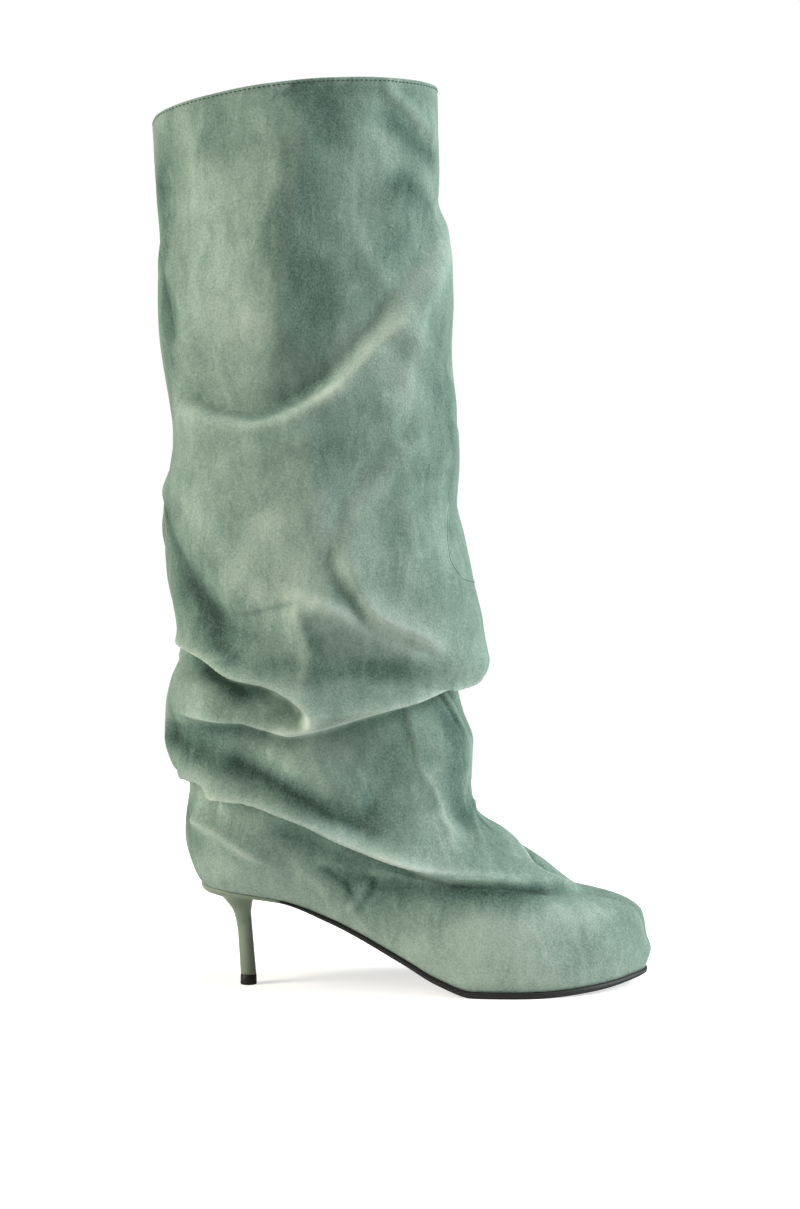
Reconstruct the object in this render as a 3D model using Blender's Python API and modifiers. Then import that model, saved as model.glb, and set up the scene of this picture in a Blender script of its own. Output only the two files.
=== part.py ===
"""Slouch knee boot on a pin heel: suede upper, thin black sole, insole, painted heel and top lift.

Metres, +Z up. The toe points along +X and the outer side of the foot is -Y: a right boot.
The origin is on the floor under the middle of the boot's box. Tables are in millimetres.
"""

import math
from collections import namedtuple

import bmesh
import bpy
import numpy as np

MM = 0.001

# Driving dimensions, in millimetres
WALL = 1.8
GAP = 0.3
SOLE_MARGIN = 0.8
INSOLE_INSET = 2.8
INSOLE_THICKNESS = 1.6
TOE_SWING = 6.0
TOE_SWING_POWER = 4
COLLAR_BOW = 3.5
COLLAR_BOW_SKEW = 0.7
SEAT_FRONT_X = -62.0
STEM_TOP_X = -81.6
STEM_TOP_RADIUS = 3.4
STEM_FOOT_X = -79.5
STEM_FOOT_RADIUS = 4.0
LIFT_HEIGHT = 5.0
LIFT_RADIUS = 4.2
LIFT_SEGMENTS = 24

# Sections of the upper from sole edge to collar: ends of each section on the back line and the
# front line, half widths at four stations from back to front, and grid rows to the next section.
Section = namedtuple("Section", "back_x back_z front_x front_z heel waist ball toe rows")
SECTIONS = [
    Section(-103.7, 54.1, 127.5, 8.4, 26.5, 26.0, 40.5, 26.0, 2),
    Section(-107.5, 60.0, 130.6, 20.5, 30.0, 31.5, 43.5, 28.5, 2),
    Section(-110.0, 67.0, 127.5, 37.0, 32.0, 36.0, 42.0, 25.5, 2),
    Section(-111.5, 73.0, 113.5, 46.0, 33.0, 39.0, 41.0, 22.0, 2),
    Section(-112.0, 78.0, 98.0, 48.5, 34.0, 41.0, 40.5, 20.5, 3),
    Section(-111.7, 86.0, 74.0, 64.0, 35.0, 43.0, 40.0, 21.0, 3),
    Section(-110.8, 95.0, 52.0, 80.0, 35.5, 44.0, 40.5, 22.0, 3),
    Section(-109.9, 103.5, 38.5, 92.0, 35.5, 45.0, 42.0, 23.5, 2),
    Section(-119.0, 114.5, 36.5, 104.0, 35.0, 46.0, 43.5, 25.5, 3),
    Section(-123.0, 129.0, 37.7, 124.0, 35.0, 46.5, 44.0, 26.5, 3),
    Section(-123.0, 145.0, 32.0, 143.0, 34.0, 46.5, 44.5, 27.0, 3),
    Section(-121.0, 159.0, 30.5, 157.0, 33.0, 46.5, 45.0, 27.0, 3),
    Section(-114.1, 180.0, 41.0, 171.0, 32.0, 47.5, 46.5, 29.0, 2),
    Section(-118.0, 195.0, 41.2, 188.0, 32.0, 48.5, 47.5, 30.0, 2),
    Section(-122.0, 214.0, 37.0, 211.0, 32.0, 49.5, 48.5, 30.0, 1),
    Section(-123.0, 232.0, 32.0, 233.0, 32.0, 49.5, 48.5, 29.0, 1),
    Section(-121.8, 250.0, 27.5, 251.0, 31.0, 49.0, 48.0, 29.0, 1),
    Section(-117.3, 279.0, 28.8, 272.0, 31.0, 48.5, 47.5, 29.0, 1),
    Section(-119.5, 298.0, 26.5, 297.0, 31.0, 48.5, 47.5, 29.0, 2),
    Section(-123.0, 321.0, 24.0, 323.0, 31.0, 48.5, 47.5, 29.0, 2),
    Section(-126.6, 358.0, 24.0, 349.0, 30.0, 48.0, 47.5, 28.5, 1),
    Section(-124.1, 386.0, 20.0, 384.0, 29.5, 48.0, 47.5, 28.0, 1),
    Section(-126.2, 409.0, 20.8, 404.0, 29.0, 47.5, 47.5, 28.0, 2),
    Section(-129.74, 449.0, 18.0, 464.8, 28.0, 47.0, 47.0, 27.0, 0),
]
TOP_LEVEL = len(SECTIONS) - 1
FOOT_LEVEL = 4.0
COLUMNS_ROUND = 56
LEVELS_PER_SECTION = 12

# What the inner side adds to the outer side's half widths on the foot, gone at the ankle.
INNER_EXTRA = {"heel": 0.0, "waist": -3.5, "ball": -0.5, "toe": 6.0}
FOOT_TOP_Z = (45.0, 110.0)

# Line of the sole from heel to toe: top of the sole and its thickness.
SolePoint = namedtuple("SolePoint", "x top thickness")
SOLE_LINE = [
    SolePoint(-112.0, 55.1, 1.0),
    SolePoint(-62.0, 47.2, 1.2),
    SolePoint(-37.0, 38.2, 2.4),
    SolePoint(0.0, 19.0, 3.0),
    SolePoint(19.0, 8.6, 3.2),
    SolePoint(36.0, 3.2, 3.2),
    SolePoint(64.0, 3.2, 3.2),
    SolePoint(100.0, 4.8, 3.0),
    SolePoint(130.0, 8.4, 2.4),
]
SOLE_STATIONS = 34
SOLE_TIP_DEGREES = 4.0
OUTLINE_STEP_DEGREES = 0.5

# Rings of the heel from its seat to its stem: the share of the seat's spread that is left, and how
# far the ring has dropped below the seat at its back and at its breast.
HeelRing = namedtuple("HeelRing", "share back_drop breast_drop")
HEEL_RINGS = [
    HeelRing(1.00, 0.0, 0.0),
    HeelRing(1.00, 1.6, 1.0),
    HeelRing(0.93, 3.4, 1.1),
    HeelRing(0.70, 5.0, 1.3),
    HeelRing(0.45, 6.6, 1.6),
    HeelRing(0.28, 9.7, 2.2),
    HeelRing(0.14, 13.0, 3.4),
    HeelRing(0.05, 18.5, 7.0),
    HeelRing(0.00, 24.0, 13.0),
]
STEM_RINGS = 4
SEAT_POINTS = 16
BREAST_POINTS = 7

# Folds of the slack leather. Relief is out of the wall, the reaches are how far the fold spreads
# above and below its crest, and hang is how far the crest sags per relief. A crest runs through
# (degree, height) points: 0 degrees is the back, 90 the outer side, 180 the front, 270 the inner side.
Fold = namedtuple("Fold", "relief reach_up reach_down hang crest")
FOLDS = {
    "cowl": Fold(7, 10, 26, 0, [(149, 351), (124, 332), (104, 312), (84, 294), (62, 290), (18, 307)]),
    "cowl hollow": Fold(-8, 26, 9, 0, [(128, 347), (102, 324), (86, 307), (70, 300), (46, 308)]),
    "side ridge": Fold(4, 26, 26, 0, [(88, 440), (86, 399), (82, 359), (80, 322)]),
    "back valley": Fold(-7, 13, 13, 0, [(14, 232), (27, 212), (36, 190), (52, 172)]),
    "pouch": Fold(5, 18, 9, 0.2, [(108, 218), (103, 202), (108, 190), (124, 184), (146, 172)]),
    "pouch hollow": Fold(-5, 9, 13, 0, [(86, 196), (94, 184), (108, 176), (128, 172)]),
    "hem": Fold(10, 26, 9, 0.4, [(66, 137), (86, 132), (102, 138), (118, 143), (140, 150), (172, 160)]),
    "roll": Fold(8, 10, 9, 0.3, [(16, 143), (34, 140), (46, 139), (60, 138), (74, 134), (98, 134)]),
    "under hem": Fold(
        -9, 9, 16, 0,
        [(14, 126), (40, 128), (62, 126), (80, 119), (104, 126), (124, 133), (146, 141), (166, 148)],
    ),
    "pocket edge": Fold(9, 22, 9, 0.3, [(4, 181), (34, 170), (52, 162), (66, 158), (82, 153), (92, 143)]),
    "pocket": Fold(-11, 9, 9, 0, [(14, 170), (38, 163), (58, 154), (70, 147), (86, 138)]),
    "skirt": Fold(
        9, 12, 9, 0.4,
        [(16, 115), (34, 108), (56, 99), (70, 91), (81, 81), (96, 69), (112, 59), (143, 55), (168, 52)],
    ),
    "skirt hollow": Fold(-8, 12, 9, 0, [(40, 127), (54, 121), (66, 113), (79, 101), (92, 90), (106, 82)]),
    "skirt under": Fold(
        -7, 9, 12, 0,
        [(40, 92), (56, 86), (72, 76), (82, 63), (96, 55), (114, 52), (134, 50), (156, 48)],
    ),
    "toe cleft": Fold(-3, 8, 8, 0, [(180, 52), (176, 48), (175, 44), (175, 37), (178, 26), (180, 18)]),
    "inner cowl": Fold(7, 10, 26, 0, [(212, 352), (240, 328), (262, 306), (285, 297), (345, 309)]),
    "inner hem": Fold(
        9, 24, 9, 0.4,
        [(194, 160), (220, 151), (250, 140), (276, 136), (304, 146), (344, 166)],
    ),
    "inner under hem": Fold(
        -10, 9, 16, 0,
        [(200, 146), (222, 138), (250, 126), (276, 122), (304, 131), (340, 152)],
    ),
    "inner skirt": Fold(
        8, 12, 9, 0.4,
        [(344, 116), (322, 109), (300, 98), (280, 84), (262, 72), (242, 63), (222, 57), (204, 54)],
    ),
    "inner skirt under": Fold(
        -6, 9, 12, 0,
        [(325, 97), (300, 84), (280, 70), (262, 59), (240, 53), (216, 50)],
    ),
}
CREST_SAMPLES = 40
CREST_FADE = 0.2
CREST_TURN = 0.3
ON_CREST = 0.001
FREE_LEVEL = 1.5

# Finishes, with their linear colours
Finish = namedtuple("Finish", "name colour roughness")
SUEDE = Finish("suede", (0.24, 0.34, 0.27, 1.0), 0.9)
SOLE_RUBBER = Finish("black rubber", (0.012, 0.012, 0.012, 1.0), 0.55)
SOCK_LEATHER = Finish("leather sock", (0.42, 0.36, 0.28, 1.0), 0.6)
HEEL_PAINT = Finish("heel paint", (0.25, 0.31, 0.24, 1.0), 0.35)
LIFT_RUBBER = Finish("top lift rubber", (0.012, 0.012, 0.012, 1.0), 0.5)
SHARP_ANGLE = math.radians(40)


def hermite(at, knots, values):
    """Monotone cubic through the knots."""
    at, knots, values = (np.asarray(a, float) for a in (at, knots, values))
    step = np.diff(knots)
    slope = np.diff(values) / step
    same_way = slope[:-1] * slope[1:] > 0
    mean = 2 * slope[:-1] * slope[1:] / np.where(same_way, slope[:-1] + slope[1:], 1)
    tangent = np.concatenate([slope[:1], np.where(same_way, mean, 0), slope[-1:]])
    i = np.clip(np.searchsorted(knots, at, side="right") - 1, 0, len(step) - 1)
    t = (at - knots[i]) / step[i]
    ease = t * t * (3 - 2 * t)
    bend = step[i] * (t * (1 - t) ** 2 * tangent[i] - t * t * (1 - t) * tangent[i + 1])
    return values[i] * (1 - ease) + values[i + 1] * ease + bend


def smoothstep(x, low, high):
    """Zero below low, one above high, and a smooth climb between."""
    t = np.clip((x - low) / (high - low), 0, 1)
    return t * t * (3 - 2 * t)


def sole_top(x):
    """Height of the sole's upper face at x."""
    return hermite(x, [p.x for p in SOLE_LINE], [p.top for p in SOLE_LINE])


def sole_thickness(x):
    """Thickness of the sole at x."""
    return hermite(x, [p.x for p in SOLE_LINE], [p.thickness for p in SOLE_LINE])


def column(name, level):
    """A column of the section table, read smoothly between its rows."""
    return hermite(level, np.arange(len(SECTIONS)), [getattr(s, name) for s in SECTIONS])


def half_width(theta, level, inner):
    """Half width round a section: a sine series through its four stations, closed at both ends."""
    names = ("heel", "waist", "ball", "toe")
    foot = 1 - smoothstep(column("back_z", level), *FOOT_TOP_Z)
    widths = [column(n, level) + inner * foot * INNER_EXTRA[n] for n in names]
    pitch = math.pi / (len(names) + 1)
    total = 0
    for m in range(1, len(names) + 1):
        weight = sum(w * math.sin(m * (k + 1) * pitch) for k, w in enumerate(widths))
        total = total + 2 / (len(names) + 1) * weight * np.sin(m * theta)
    return total


def plain_upper(degree, level):
    """The upper before its folds: degree round the leg, level in rows of the section table."""
    theta = np.radians(degree)
    back_x, back_z = column("back_x", level), column("back_z", level)
    front_x, front_z = column("front_x", level), column("front_z", level)
    along = (1 - np.cos(theta)) / 2
    x = back_x + (front_x - back_x) * along
    side = np.sin(theta)
    inner = (side < 0).astype(float)
    near = half_width(np.where(side < 0, 2 * math.pi - theta, theta), level, inner)
    y = np.where(side < 0, near, -near)
    foot = 1 - smoothstep(back_z, *FOOT_TOP_Z)
    y = y + TOE_SWING * foot * along**TOE_SWING_POWER
    chord = back_z + (front_z - back_z) * along
    collar = smoothstep(level, TOP_LEVEL - 2, TOP_LEVEL)
    chord = chord + COLLAR_BOW * collar * np.sin(math.pi * along**COLLAR_BOW_SKEW)
    above_back = back_z - sole_top(back_x)
    above_front = front_z - sole_top(front_x)
    on_sole = sole_top(x) + above_back + (above_front - above_back) * along
    flat = smoothstep(level, 0.0, FOOT_LEVEL)
    return np.stack([x, y, on_sole * (1 - flat) + chord * flat], axis=-1)


def crest_line(crest):
    """Points of a crest on the plain upper, evenly along it, with their share of its length."""
    points = np.array(crest, float)
    along = np.linspace(0, len(points) - 1, CREST_SAMPLES)
    knots = np.arange(len(points))
    degree, height = (hermite(along, knots, points[:, i]) for i in (0, 1))
    levels = np.linspace(0, TOP_LEVEL, LEVELS_PER_SECTION * len(SECTIONS))
    heights = plain_upper(degree[:, None], levels[None, :])[..., 2]
    level = np.array([np.interp(h, row, levels) for h, row in zip(height, heights)])
    return plain_upper(degree, level), along / along[-1]


def fold_relief(points, fold):
    """How far a fold lifts each point: a bell across the crest, fading out at its ends."""
    line, share = crest_line(fold.crest)
    step = np.diff(line, axis=0)
    flat = points.reshape(-1, 3)
    from_start = flat[:, None, :] - line[None, :-1, :]
    part_way = np.clip((from_start * step).sum(axis=2) / (step**2).sum(axis=1), 0, 1)
    gaps = from_start - part_way[..., None] * step
    distances = np.linalg.norm(gaps, axis=2)
    nearest = distances.argmin(axis=1)
    each = np.arange(len(flat))
    distance = distances[each, nearest]
    rise = gaps[each, nearest, 2] / np.maximum(distance, ON_CREST)
    upper_side = smoothstep(rise, -CREST_TURN, CREST_TURN)
    reach = fold.reach_down + (fold.reach_up - fold.reach_down) * upper_side
    at = share[nearest] + part_way[each, nearest] / (CREST_SAMPLES - 1)
    fade = smoothstep(at, 0, CREST_FADE) * (1 - smoothstep(at, 1 - CREST_FADE, 1))
    relief = fold.relief * fade * np.exp(-((distance / reach) ** 2))
    return relief.reshape(points.shape[:-1])


def surface_normals(points):
    """Outward normals of a grid whose rows run up the boot and whose columns close round it."""
    round_step = np.roll(points, -1, axis=1) - np.roll(points, 1, axis=1)
    up_step = np.gradient(points, axis=0)
    normal = np.cross(round_step, up_step)
    return normal / np.linalg.norm(normal, axis=-1, keepdims=True)


def folded_upper(degree, level):
    """The upper with its folds: each fold moves the leather out of the wall and lets it sag."""
    plain = plain_upper(degree, level)
    normal = surface_normals(plain)
    out = np.zeros(degree.shape)
    drop = np.zeros(degree.shape)
    for fold in FOLDS.values():
        relief = fold_relief(plain, fold)
        out += relief
        drop += fold.hang * relief
    free = smoothstep(level, 0.0, FREE_LEVEL)
    folded = plain + normal * (out * free)[..., None]
    folded[..., 2] -= drop * free
    return folded


def outline_point(degree, margin):
    """Plan points of the sole edge, set out from the upper's lowest section by a margin."""
    here = plain_upper(degree, 0.0)[..., :2]
    ahead = plain_upper(degree + OUTLINE_STEP_DEGREES, 0.0)[..., :2]
    tangent = ahead - plain_upper(degree - OUTLINE_STEP_DEGREES, 0.0)[..., :2]
    normal = np.stack([tangent[..., 1], -tangent[..., 0]], axis=-1)
    return here + margin * normal / np.linalg.norm(normal, axis=-1, keepdims=True)


def degree_at(x):
    """The degree of the sole edge, on the outer side, that lies at x."""
    along = (x - SECTIONS[0].back_x) / (SECTIONS[0].front_x - SECTIONS[0].back_x)
    return math.degrees(math.acos(1 - 2 * along))


def layer_rings(first_degree, last_degree, margin, lift, thickness):
    """Cross sections of a sole layer from heel to toe: outer and inner edge, top and bottom."""
    degree = np.linspace(first_degree, last_degree, SOLE_STATIONS)
    outer = outline_point(degree, margin)
    inner = outline_point(360 - degree, margin)
    corners = []
    for edge, is_top in ((outer, 1), (inner, 1), (inner, 0), (outer, 0)):
        base = sole_top(edge[:, 0]) + lift
        z = base + thickness(edge[:, 0]) * is_top
        corners.append(np.column_stack([edge, z]))
    return np.stack(corners, axis=1)


def heel_rings():
    """Rings of the heel: the seat's outline shrinks to the round stem, which runs to the top lift."""
    back_half = degree_at(SEAT_FRONT_X - GAP - SOLE_MARGIN)
    seat = outline_point(np.linspace(-back_half, back_half, SEAT_POINTS), 0.0)
    across = np.linspace(0, 1, BREAST_POINTS + 2)[1:-1, None]
    seat = np.vstack([seat, seat[-1] * (1 - across) + seat[0] * across])
    centre = np.array([STEM_TOP_X, 0.0])
    spoke = seat - centre
    spoke = spoke / np.linalg.norm(spoke, axis=1, keepdims=True)
    backness = (1 - spoke[:, 0]) / 2
    stem = centre + STEM_TOP_RADIUS * spoke
    rings = []
    for ring in HEEL_RINGS:
        plan = stem + ring.share * (seat - stem)
        drop = ring.breast_drop + (ring.back_drop - ring.breast_drop) * backness
        rings.append(np.column_stack([plan, sole_top(plan[:, 0]) - drop]))
    foot_centre = np.array([STEM_FOOT_X, 0.0])
    foot = foot_centre + STEM_FOOT_RADIUS * spoke
    foot = np.column_stack([foot, np.full(len(foot), LIFT_HEIGHT + GAP)])
    top = rings[-1]
    for share in np.linspace(0, 1, STEM_RINGS + 1)[1:]:
        rings.append(top * (1 - share) + foot * share)
    return np.stack(rings)


def loft(name, rings, capped):
    """A mesh through closed rings of points in millimetres, with its two ends closed if asked."""
    mesh = bpy.data.meshes.new(name)
    shape = bmesh.new()
    grid = [[shape.verts.new(point * MM) for point in ring] for ring in rings]
    for low, high in zip(grid, grid[1:]):
        for i in range(len(low)):
            shape.faces.new((low[i - 1], low[i], high[i], high[i - 1]))
    if capped:
        shape.faces.new(grid[0])
        shape.faces.new(grid[-1])
        bmesh.ops.recalc_face_normals(shape, faces=shape.faces)
    shape.to_mesh(mesh)
    shape.free()
    return mesh


def make_material(finish):
    """A Principled material with a finish's colour and roughness."""
    material = bpy.data.materials.new(finish.name)
    material.use_nodes = True
    shader = material.node_tree.nodes["Principled BSDF"]
    shader.inputs["Base Color"].default_value = finish.colour
    shader.inputs["Roughness"].default_value = finish.roughness
    return material


def add_part(mesh, finish, boot, assembly):
    """An object for a finished mesh, in the boot's collection and under its empty."""
    mesh.materials.append(make_material(finish))
    mesh.shade_smooth()
    mesh.set_sharp_from_angle(angle=SHARP_ANGLE)
    part = bpy.data.objects.new(mesh.name, mesh)
    boot.objects.link(part)
    part.parent = assembly
    return part


def upper_points():
    """The folded upper's coarse grid, with each fold softened towards its four neighbours."""
    steps = [i + np.arange(s.rows) / s.rows for i, s in enumerate(SECTIONS[:-1])]
    levels = np.concatenate(steps + [[TOP_LEVEL]])
    degrees = np.arange(COLUMNS_ROUND) * 360 / COLUMNS_ROUND
    degree, level = np.meshgrid(degrees, levels)
    plain = plain_upper(degree, level)
    fold = folded_upper(degree, level) - plain
    beside = np.roll(fold, 1, axis=1) + np.roll(fold, -1, axis=1)
    neighbours = (beside[1:-1] + fold[:-2] + fold[2:]) / 4
    fold[1:-1] = (fold[1:-1] + neighbours) / 2
    return plain + fold


def build_upper(points, boot, assembly):
    """The folded sheet of suede, given its wall towards the inside."""
    upper = add_part(loft("upper", points, capped=False), SUEDE, boot, assembly)
    wall = upper.modifiers.new("wall", "SOLIDIFY")
    wall.thickness = WALL * MM
    wall.offset = -1


def build_soles(boot, assembly):
    """The outsole from the heel's breast to the toe, and the insole that lies inside the upper."""
    breast = degree_at(SEAT_FRONT_X)
    toe = 180 - SOLE_TIP_DEGREES
    outsole = layer_rings(breast, toe, SOLE_MARGIN, 0.0, lambda x: -sole_thickness(x))
    add_part(loft("outsole", outsole, capped=True), SOLE_RUBBER, boot, assembly)
    insole = layer_rings(SOLE_TIP_DEGREES, toe, -INSOLE_INSET, GAP, lambda x: INSOLE_THICKNESS)
    add_part(loft("insole", insole, capped=True), SOCK_LEATHER, boot, assembly)


def build_heel(boot, assembly):
    """The heel from its seat to its foot."""
    add_part(loft("heel", heel_rings(), capped=True), HEEL_PAINT, boot, assembly)


def build_top_lift(boot, assembly):
    """The rubber plug that the heel stands on."""
    mesh = bpy.data.meshes.new("top_lift")
    shape = bmesh.new()
    bmesh.ops.create_cone(
        shape, cap_ends=True, segments=LIFT_SEGMENTS,
        radius1=LIFT_RADIUS * MM, radius2=LIFT_RADIUS * MM, depth=LIFT_HEIGHT * MM,
    )
    shape.to_mesh(mesh)
    shape.free()
    lift = add_part(mesh, LIFT_RUBBER, boot, assembly)
    lift.location = (STEM_FOOT_X * MM, 0, LIFT_HEIGHT / 2 * MM)


def main():
    for item in list(bpy.data.objects):
        bpy.data.objects.remove(item)
    boot = bpy.data.collections.new("stiletto boot")
    bpy.context.scene.collection.children.link(boot)
    assembly = bpy.data.objects.new("boot", None)
    boot.objects.link(assembly)
    points = upper_points()
    middle = (points.min(axis=(0, 1)) + points.max(axis=(0, 1))) / 2
    assembly.location = (-middle[0] * MM, -middle[1] * MM, 0)
    build_upper(points, boot, assembly)
    build_soles(boot, assembly)
    build_heel(boot, assembly)
    build_top_lift(boot, assembly)


if __name__ == "__main__":
    main()
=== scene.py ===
# %% [markdown]
# A slouchy suede boot on a pin heel. On the real boot a wide, slack tube of suede is lasted over a foot
# at the bottom and falls into heavy folds at the ankle. The solids of the boot come in as a fixed frame,
# and every finer surface below is laid where those solids are, in the same sizes.

# %% Load the frame
import math
from collections import namedtuple

import bpy
import numpy as np
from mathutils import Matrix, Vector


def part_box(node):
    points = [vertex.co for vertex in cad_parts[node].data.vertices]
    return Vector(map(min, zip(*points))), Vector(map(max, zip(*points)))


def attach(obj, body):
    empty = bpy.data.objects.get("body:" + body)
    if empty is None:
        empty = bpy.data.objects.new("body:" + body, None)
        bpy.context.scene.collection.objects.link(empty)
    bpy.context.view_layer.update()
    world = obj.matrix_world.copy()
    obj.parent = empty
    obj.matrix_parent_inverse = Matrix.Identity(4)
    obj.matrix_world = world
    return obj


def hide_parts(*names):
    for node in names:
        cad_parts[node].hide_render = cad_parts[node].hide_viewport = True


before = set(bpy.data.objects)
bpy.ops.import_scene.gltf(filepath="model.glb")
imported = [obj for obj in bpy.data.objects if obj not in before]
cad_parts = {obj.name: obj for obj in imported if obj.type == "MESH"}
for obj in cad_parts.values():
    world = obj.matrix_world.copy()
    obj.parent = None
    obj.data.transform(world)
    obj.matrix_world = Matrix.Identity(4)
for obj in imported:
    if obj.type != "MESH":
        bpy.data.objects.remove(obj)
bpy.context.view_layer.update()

MM = 0.001

# %% [markdown]
# The boot's tables are in millimetres from a point under the leg. The assembly stands a hair off that
# point, so the place of the top lift, whose centre the tables know, gives the shift between the two.

# %% The shift from the tables to the frame
STEM_FOOT_X = -79.5
LIFT_HEIGHT = 5.0
LIFT_RADIUS = 4.2
lift_low, lift_high = (np.array(corner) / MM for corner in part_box("top_lift"))
lift_centre = (lift_low + lift_high) / 2
SHIFT = np.array([lift_centre[0] - STEM_FOOT_X, lift_centre[1], 0.0])
print("shift in mm:", SHIFT.round(3))

# %% [markdown]
# The camera stands level, a little over a metre away, square on to the outer side. The photograph shows
# about half a millimetre for each pixel on the boot's middle plane, which gives the lens. The boot sits a
# little high in the picture, so the film is shifted instead of tilting the camera.

# %% Camera
FRAME_HEIGHT_PX = 1209
MM_PER_PX = 0.52
CAMERA_DISTANCE = 1115.0
CAMERA_HEIGHT = 225.0
CAMERA_X = -0.8
HORIZON_PX = 551.0
SENSOR = 36.0

film = bpy.data.cameras.new("camera")
film.sensor_fit = "VERTICAL"
film.sensor_height = SENSOR
film.lens = SENSOR * CAMERA_DISTANCE / (FRAME_HEIGHT_PX * MM_PER_PX)
film.shift_y = (HORIZON_PX - FRAME_HEIGHT_PX / 2) / FRAME_HEIGHT_PX
camera = bpy.data.objects.new("camera", film)
camera.location = (np.array([CAMERA_X, -CAMERA_DISTANCE, CAMERA_HEIGHT]) + SHIFT) * MM
camera.rotation_euler = (math.pi / 2, 0, 0)
bpy.context.collection.objects.link(camera)
bpy.context.scene.camera = camera
print("lens", round(film.lens, 1), "mm, shift", round(film.shift_y, 4))

# %% [markdown]
# A mesh in this lesson is a grid: rows of points, each row as long as the next. One function turns any
# such grid into a piece that rides on the boot. Rows that close round the leg are wrapped.

# %% Grids into pieces
def grid_quads(rows, columns, wrap):
    """Corner numbers of each cell: left and right on this row, then right and left on the next."""
    index = np.arange(rows * columns).reshape(rows, columns)
    right = np.roll(index, -1, axis=1)
    cells = np.stack([index[:-1], right[:-1], right[1:], index[1:]], axis=-1)
    return (cells if wrap else cells[:, :-1]).reshape(-1, 4)


def add_piece(name, points, faces, material, smooth=True):
    """A piece from points in millimetres and faces as corner numbers, riding on the boot."""
    mesh = bpy.data.meshes.new(name)
    mesh.from_pydata(((points.reshape(-1, 3) + SHIFT) * MM).tolist(), [], faces)
    mesh.polygons.foreach_set("use_smooth", np.full(len(mesh.polygons), smooth))
    mesh.materials.append(material)
    piece = bpy.data.objects.new(name, mesh)
    bpy.context.collection.objects.link(piece)
    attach(piece, "root")
    print(name, "has", len(mesh.polygons), "faces")
    return piece


# %% [markdown]
# Colours are picked as the eye sees them, as sRGB hex values, and the shader wants linear light. One
# function does the change. One more adds a node with its settings, its values and its links.

# %% Colours and nodes
def linear(hex_colour):
    """Linear colour of an sRGB hex value: ((c + 0.055) / 1.055) ** 2.4, or c / 12.92 near black."""
    channel = np.array([int(hex_colour[i:i + 2], 16) for i in (1, 3, 5)]) / 255
    light = np.where(channel > 0.04045, ((channel + 0.055) / 1.055) ** 2.4, channel / 12.92)
    return (*light.tolist(), 1.0)


def add_node(owner, kind, inputs, **settings):
    """Adds a node to a material or world: inputs gives each socket a value or another node's output."""
    node = owner.node_tree.nodes.new(kind)
    for name, value in settings.items():
        setattr(node, name, value)
    for socket, value in inputs.items():
        if isinstance(value, bpy.types.NodeSocket):
            owner.node_tree.links.new(value, node.inputs[socket])
        else:
            node.inputs[socket].default_value = value
    return node


def new_material(name):
    """An empty node material with its Principled shader."""
    material = bpy.data.materials.new(name)
    material.use_nodes = True
    return material, material.node_tree.nodes["Principled BSDF"]


# %% [markdown]
# The shape under the folds is a stack of sections from the sole edge to the collar. Each section gives
# the two ends of a ring, at the back and the front of the boot, and half widths at four stations
# between. Reading the table smoothly gives a ring at any level.

# %% Sections of the upper
Section = namedtuple("Section", "back_x back_z front_x front_z heel waist ball toe")
SECTIONS = [
    Section(-103.7, 54.1, 127.5, 8.4, 26.5, 26.0, 40.5, 26.0),
    Section(-107.5, 60.0, 130.6, 20.5, 30.0, 31.5, 43.5, 28.5),
    Section(-110.0, 67.0, 127.5, 37.0, 32.0, 36.0, 42.0, 25.5),
    Section(-111.5, 73.0, 113.5, 46.0, 33.0, 39.0, 41.0, 22.0),
    Section(-112.0, 78.0, 98.0, 48.5, 34.0, 41.0, 40.5, 20.5),
    Section(-111.7, 86.0, 74.0, 64.0, 35.0, 43.0, 40.0, 21.0),
    Section(-110.8, 95.0, 52.0, 80.0, 35.5, 44.0, 40.5, 22.0),
    Section(-109.9, 103.5, 38.5, 92.0, 35.5, 45.0, 42.0, 23.5),
    Section(-119.0, 114.5, 36.5, 104.0, 35.0, 46.0, 43.5, 25.5),
    Section(-123.0, 129.0, 37.7, 124.0, 35.0, 46.5, 44.0, 26.5),
    Section(-123.0, 145.0, 32.0, 143.0, 34.0, 46.5, 44.5, 27.0),
    Section(-121.0, 159.0, 30.5, 157.0, 33.0, 46.5, 45.0, 27.0),
    Section(-114.1, 180.0, 41.0, 171.0, 32.0, 47.5, 46.5, 29.0),
    Section(-118.0, 195.0, 41.2, 188.0, 32.0, 48.5, 47.5, 30.0),
    Section(-122.0, 214.0, 37.0, 211.0, 32.0, 49.5, 48.5, 30.0),
    Section(-123.0, 232.0, 32.0, 233.0, 32.0, 49.5, 48.5, 29.0),
    Section(-121.8, 250.0, 27.5, 251.0, 31.0, 49.0, 48.0, 29.0),
    Section(-117.3, 279.0, 28.8, 272.0, 31.0, 48.5, 47.5, 29.0),
    Section(-119.5, 298.0, 26.5, 297.0, 31.0, 48.5, 47.5, 29.0),
    Section(-123.0, 321.0, 24.0, 323.0, 31.0, 48.5, 47.5, 29.0),
    Section(-126.6, 358.0, 24.0, 349.0, 30.0, 48.0, 47.5, 28.5),
    Section(-124.1, 386.0, 20.0, 384.0, 29.5, 48.0, 47.5, 28.0),
    Section(-126.2, 409.0, 20.8, 404.0, 29.0, 47.5, 47.5, 28.0),
    Section(-129.74, 447.0, 18.0, 464.8, 28.0, 47.0, 47.0, 27.0),
]
TOP_LEVEL = len(SECTIONS) - 1
INNER_EXTRA = {"heel": 0.0, "waist": -3.5, "ball": -0.5, "toe": 6.0}
FOOT_TOP_Z = (45.0, 110.0)
FOOT_LEVEL = 4.0
TOE_SWING = 6.0
TOE_SWING_POWER = 4
COLLAR_BOW = 2.4
COLLAR_BOW_SKEW = 0.7
SolePoint = namedtuple("SolePoint", "x top thickness")
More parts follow.
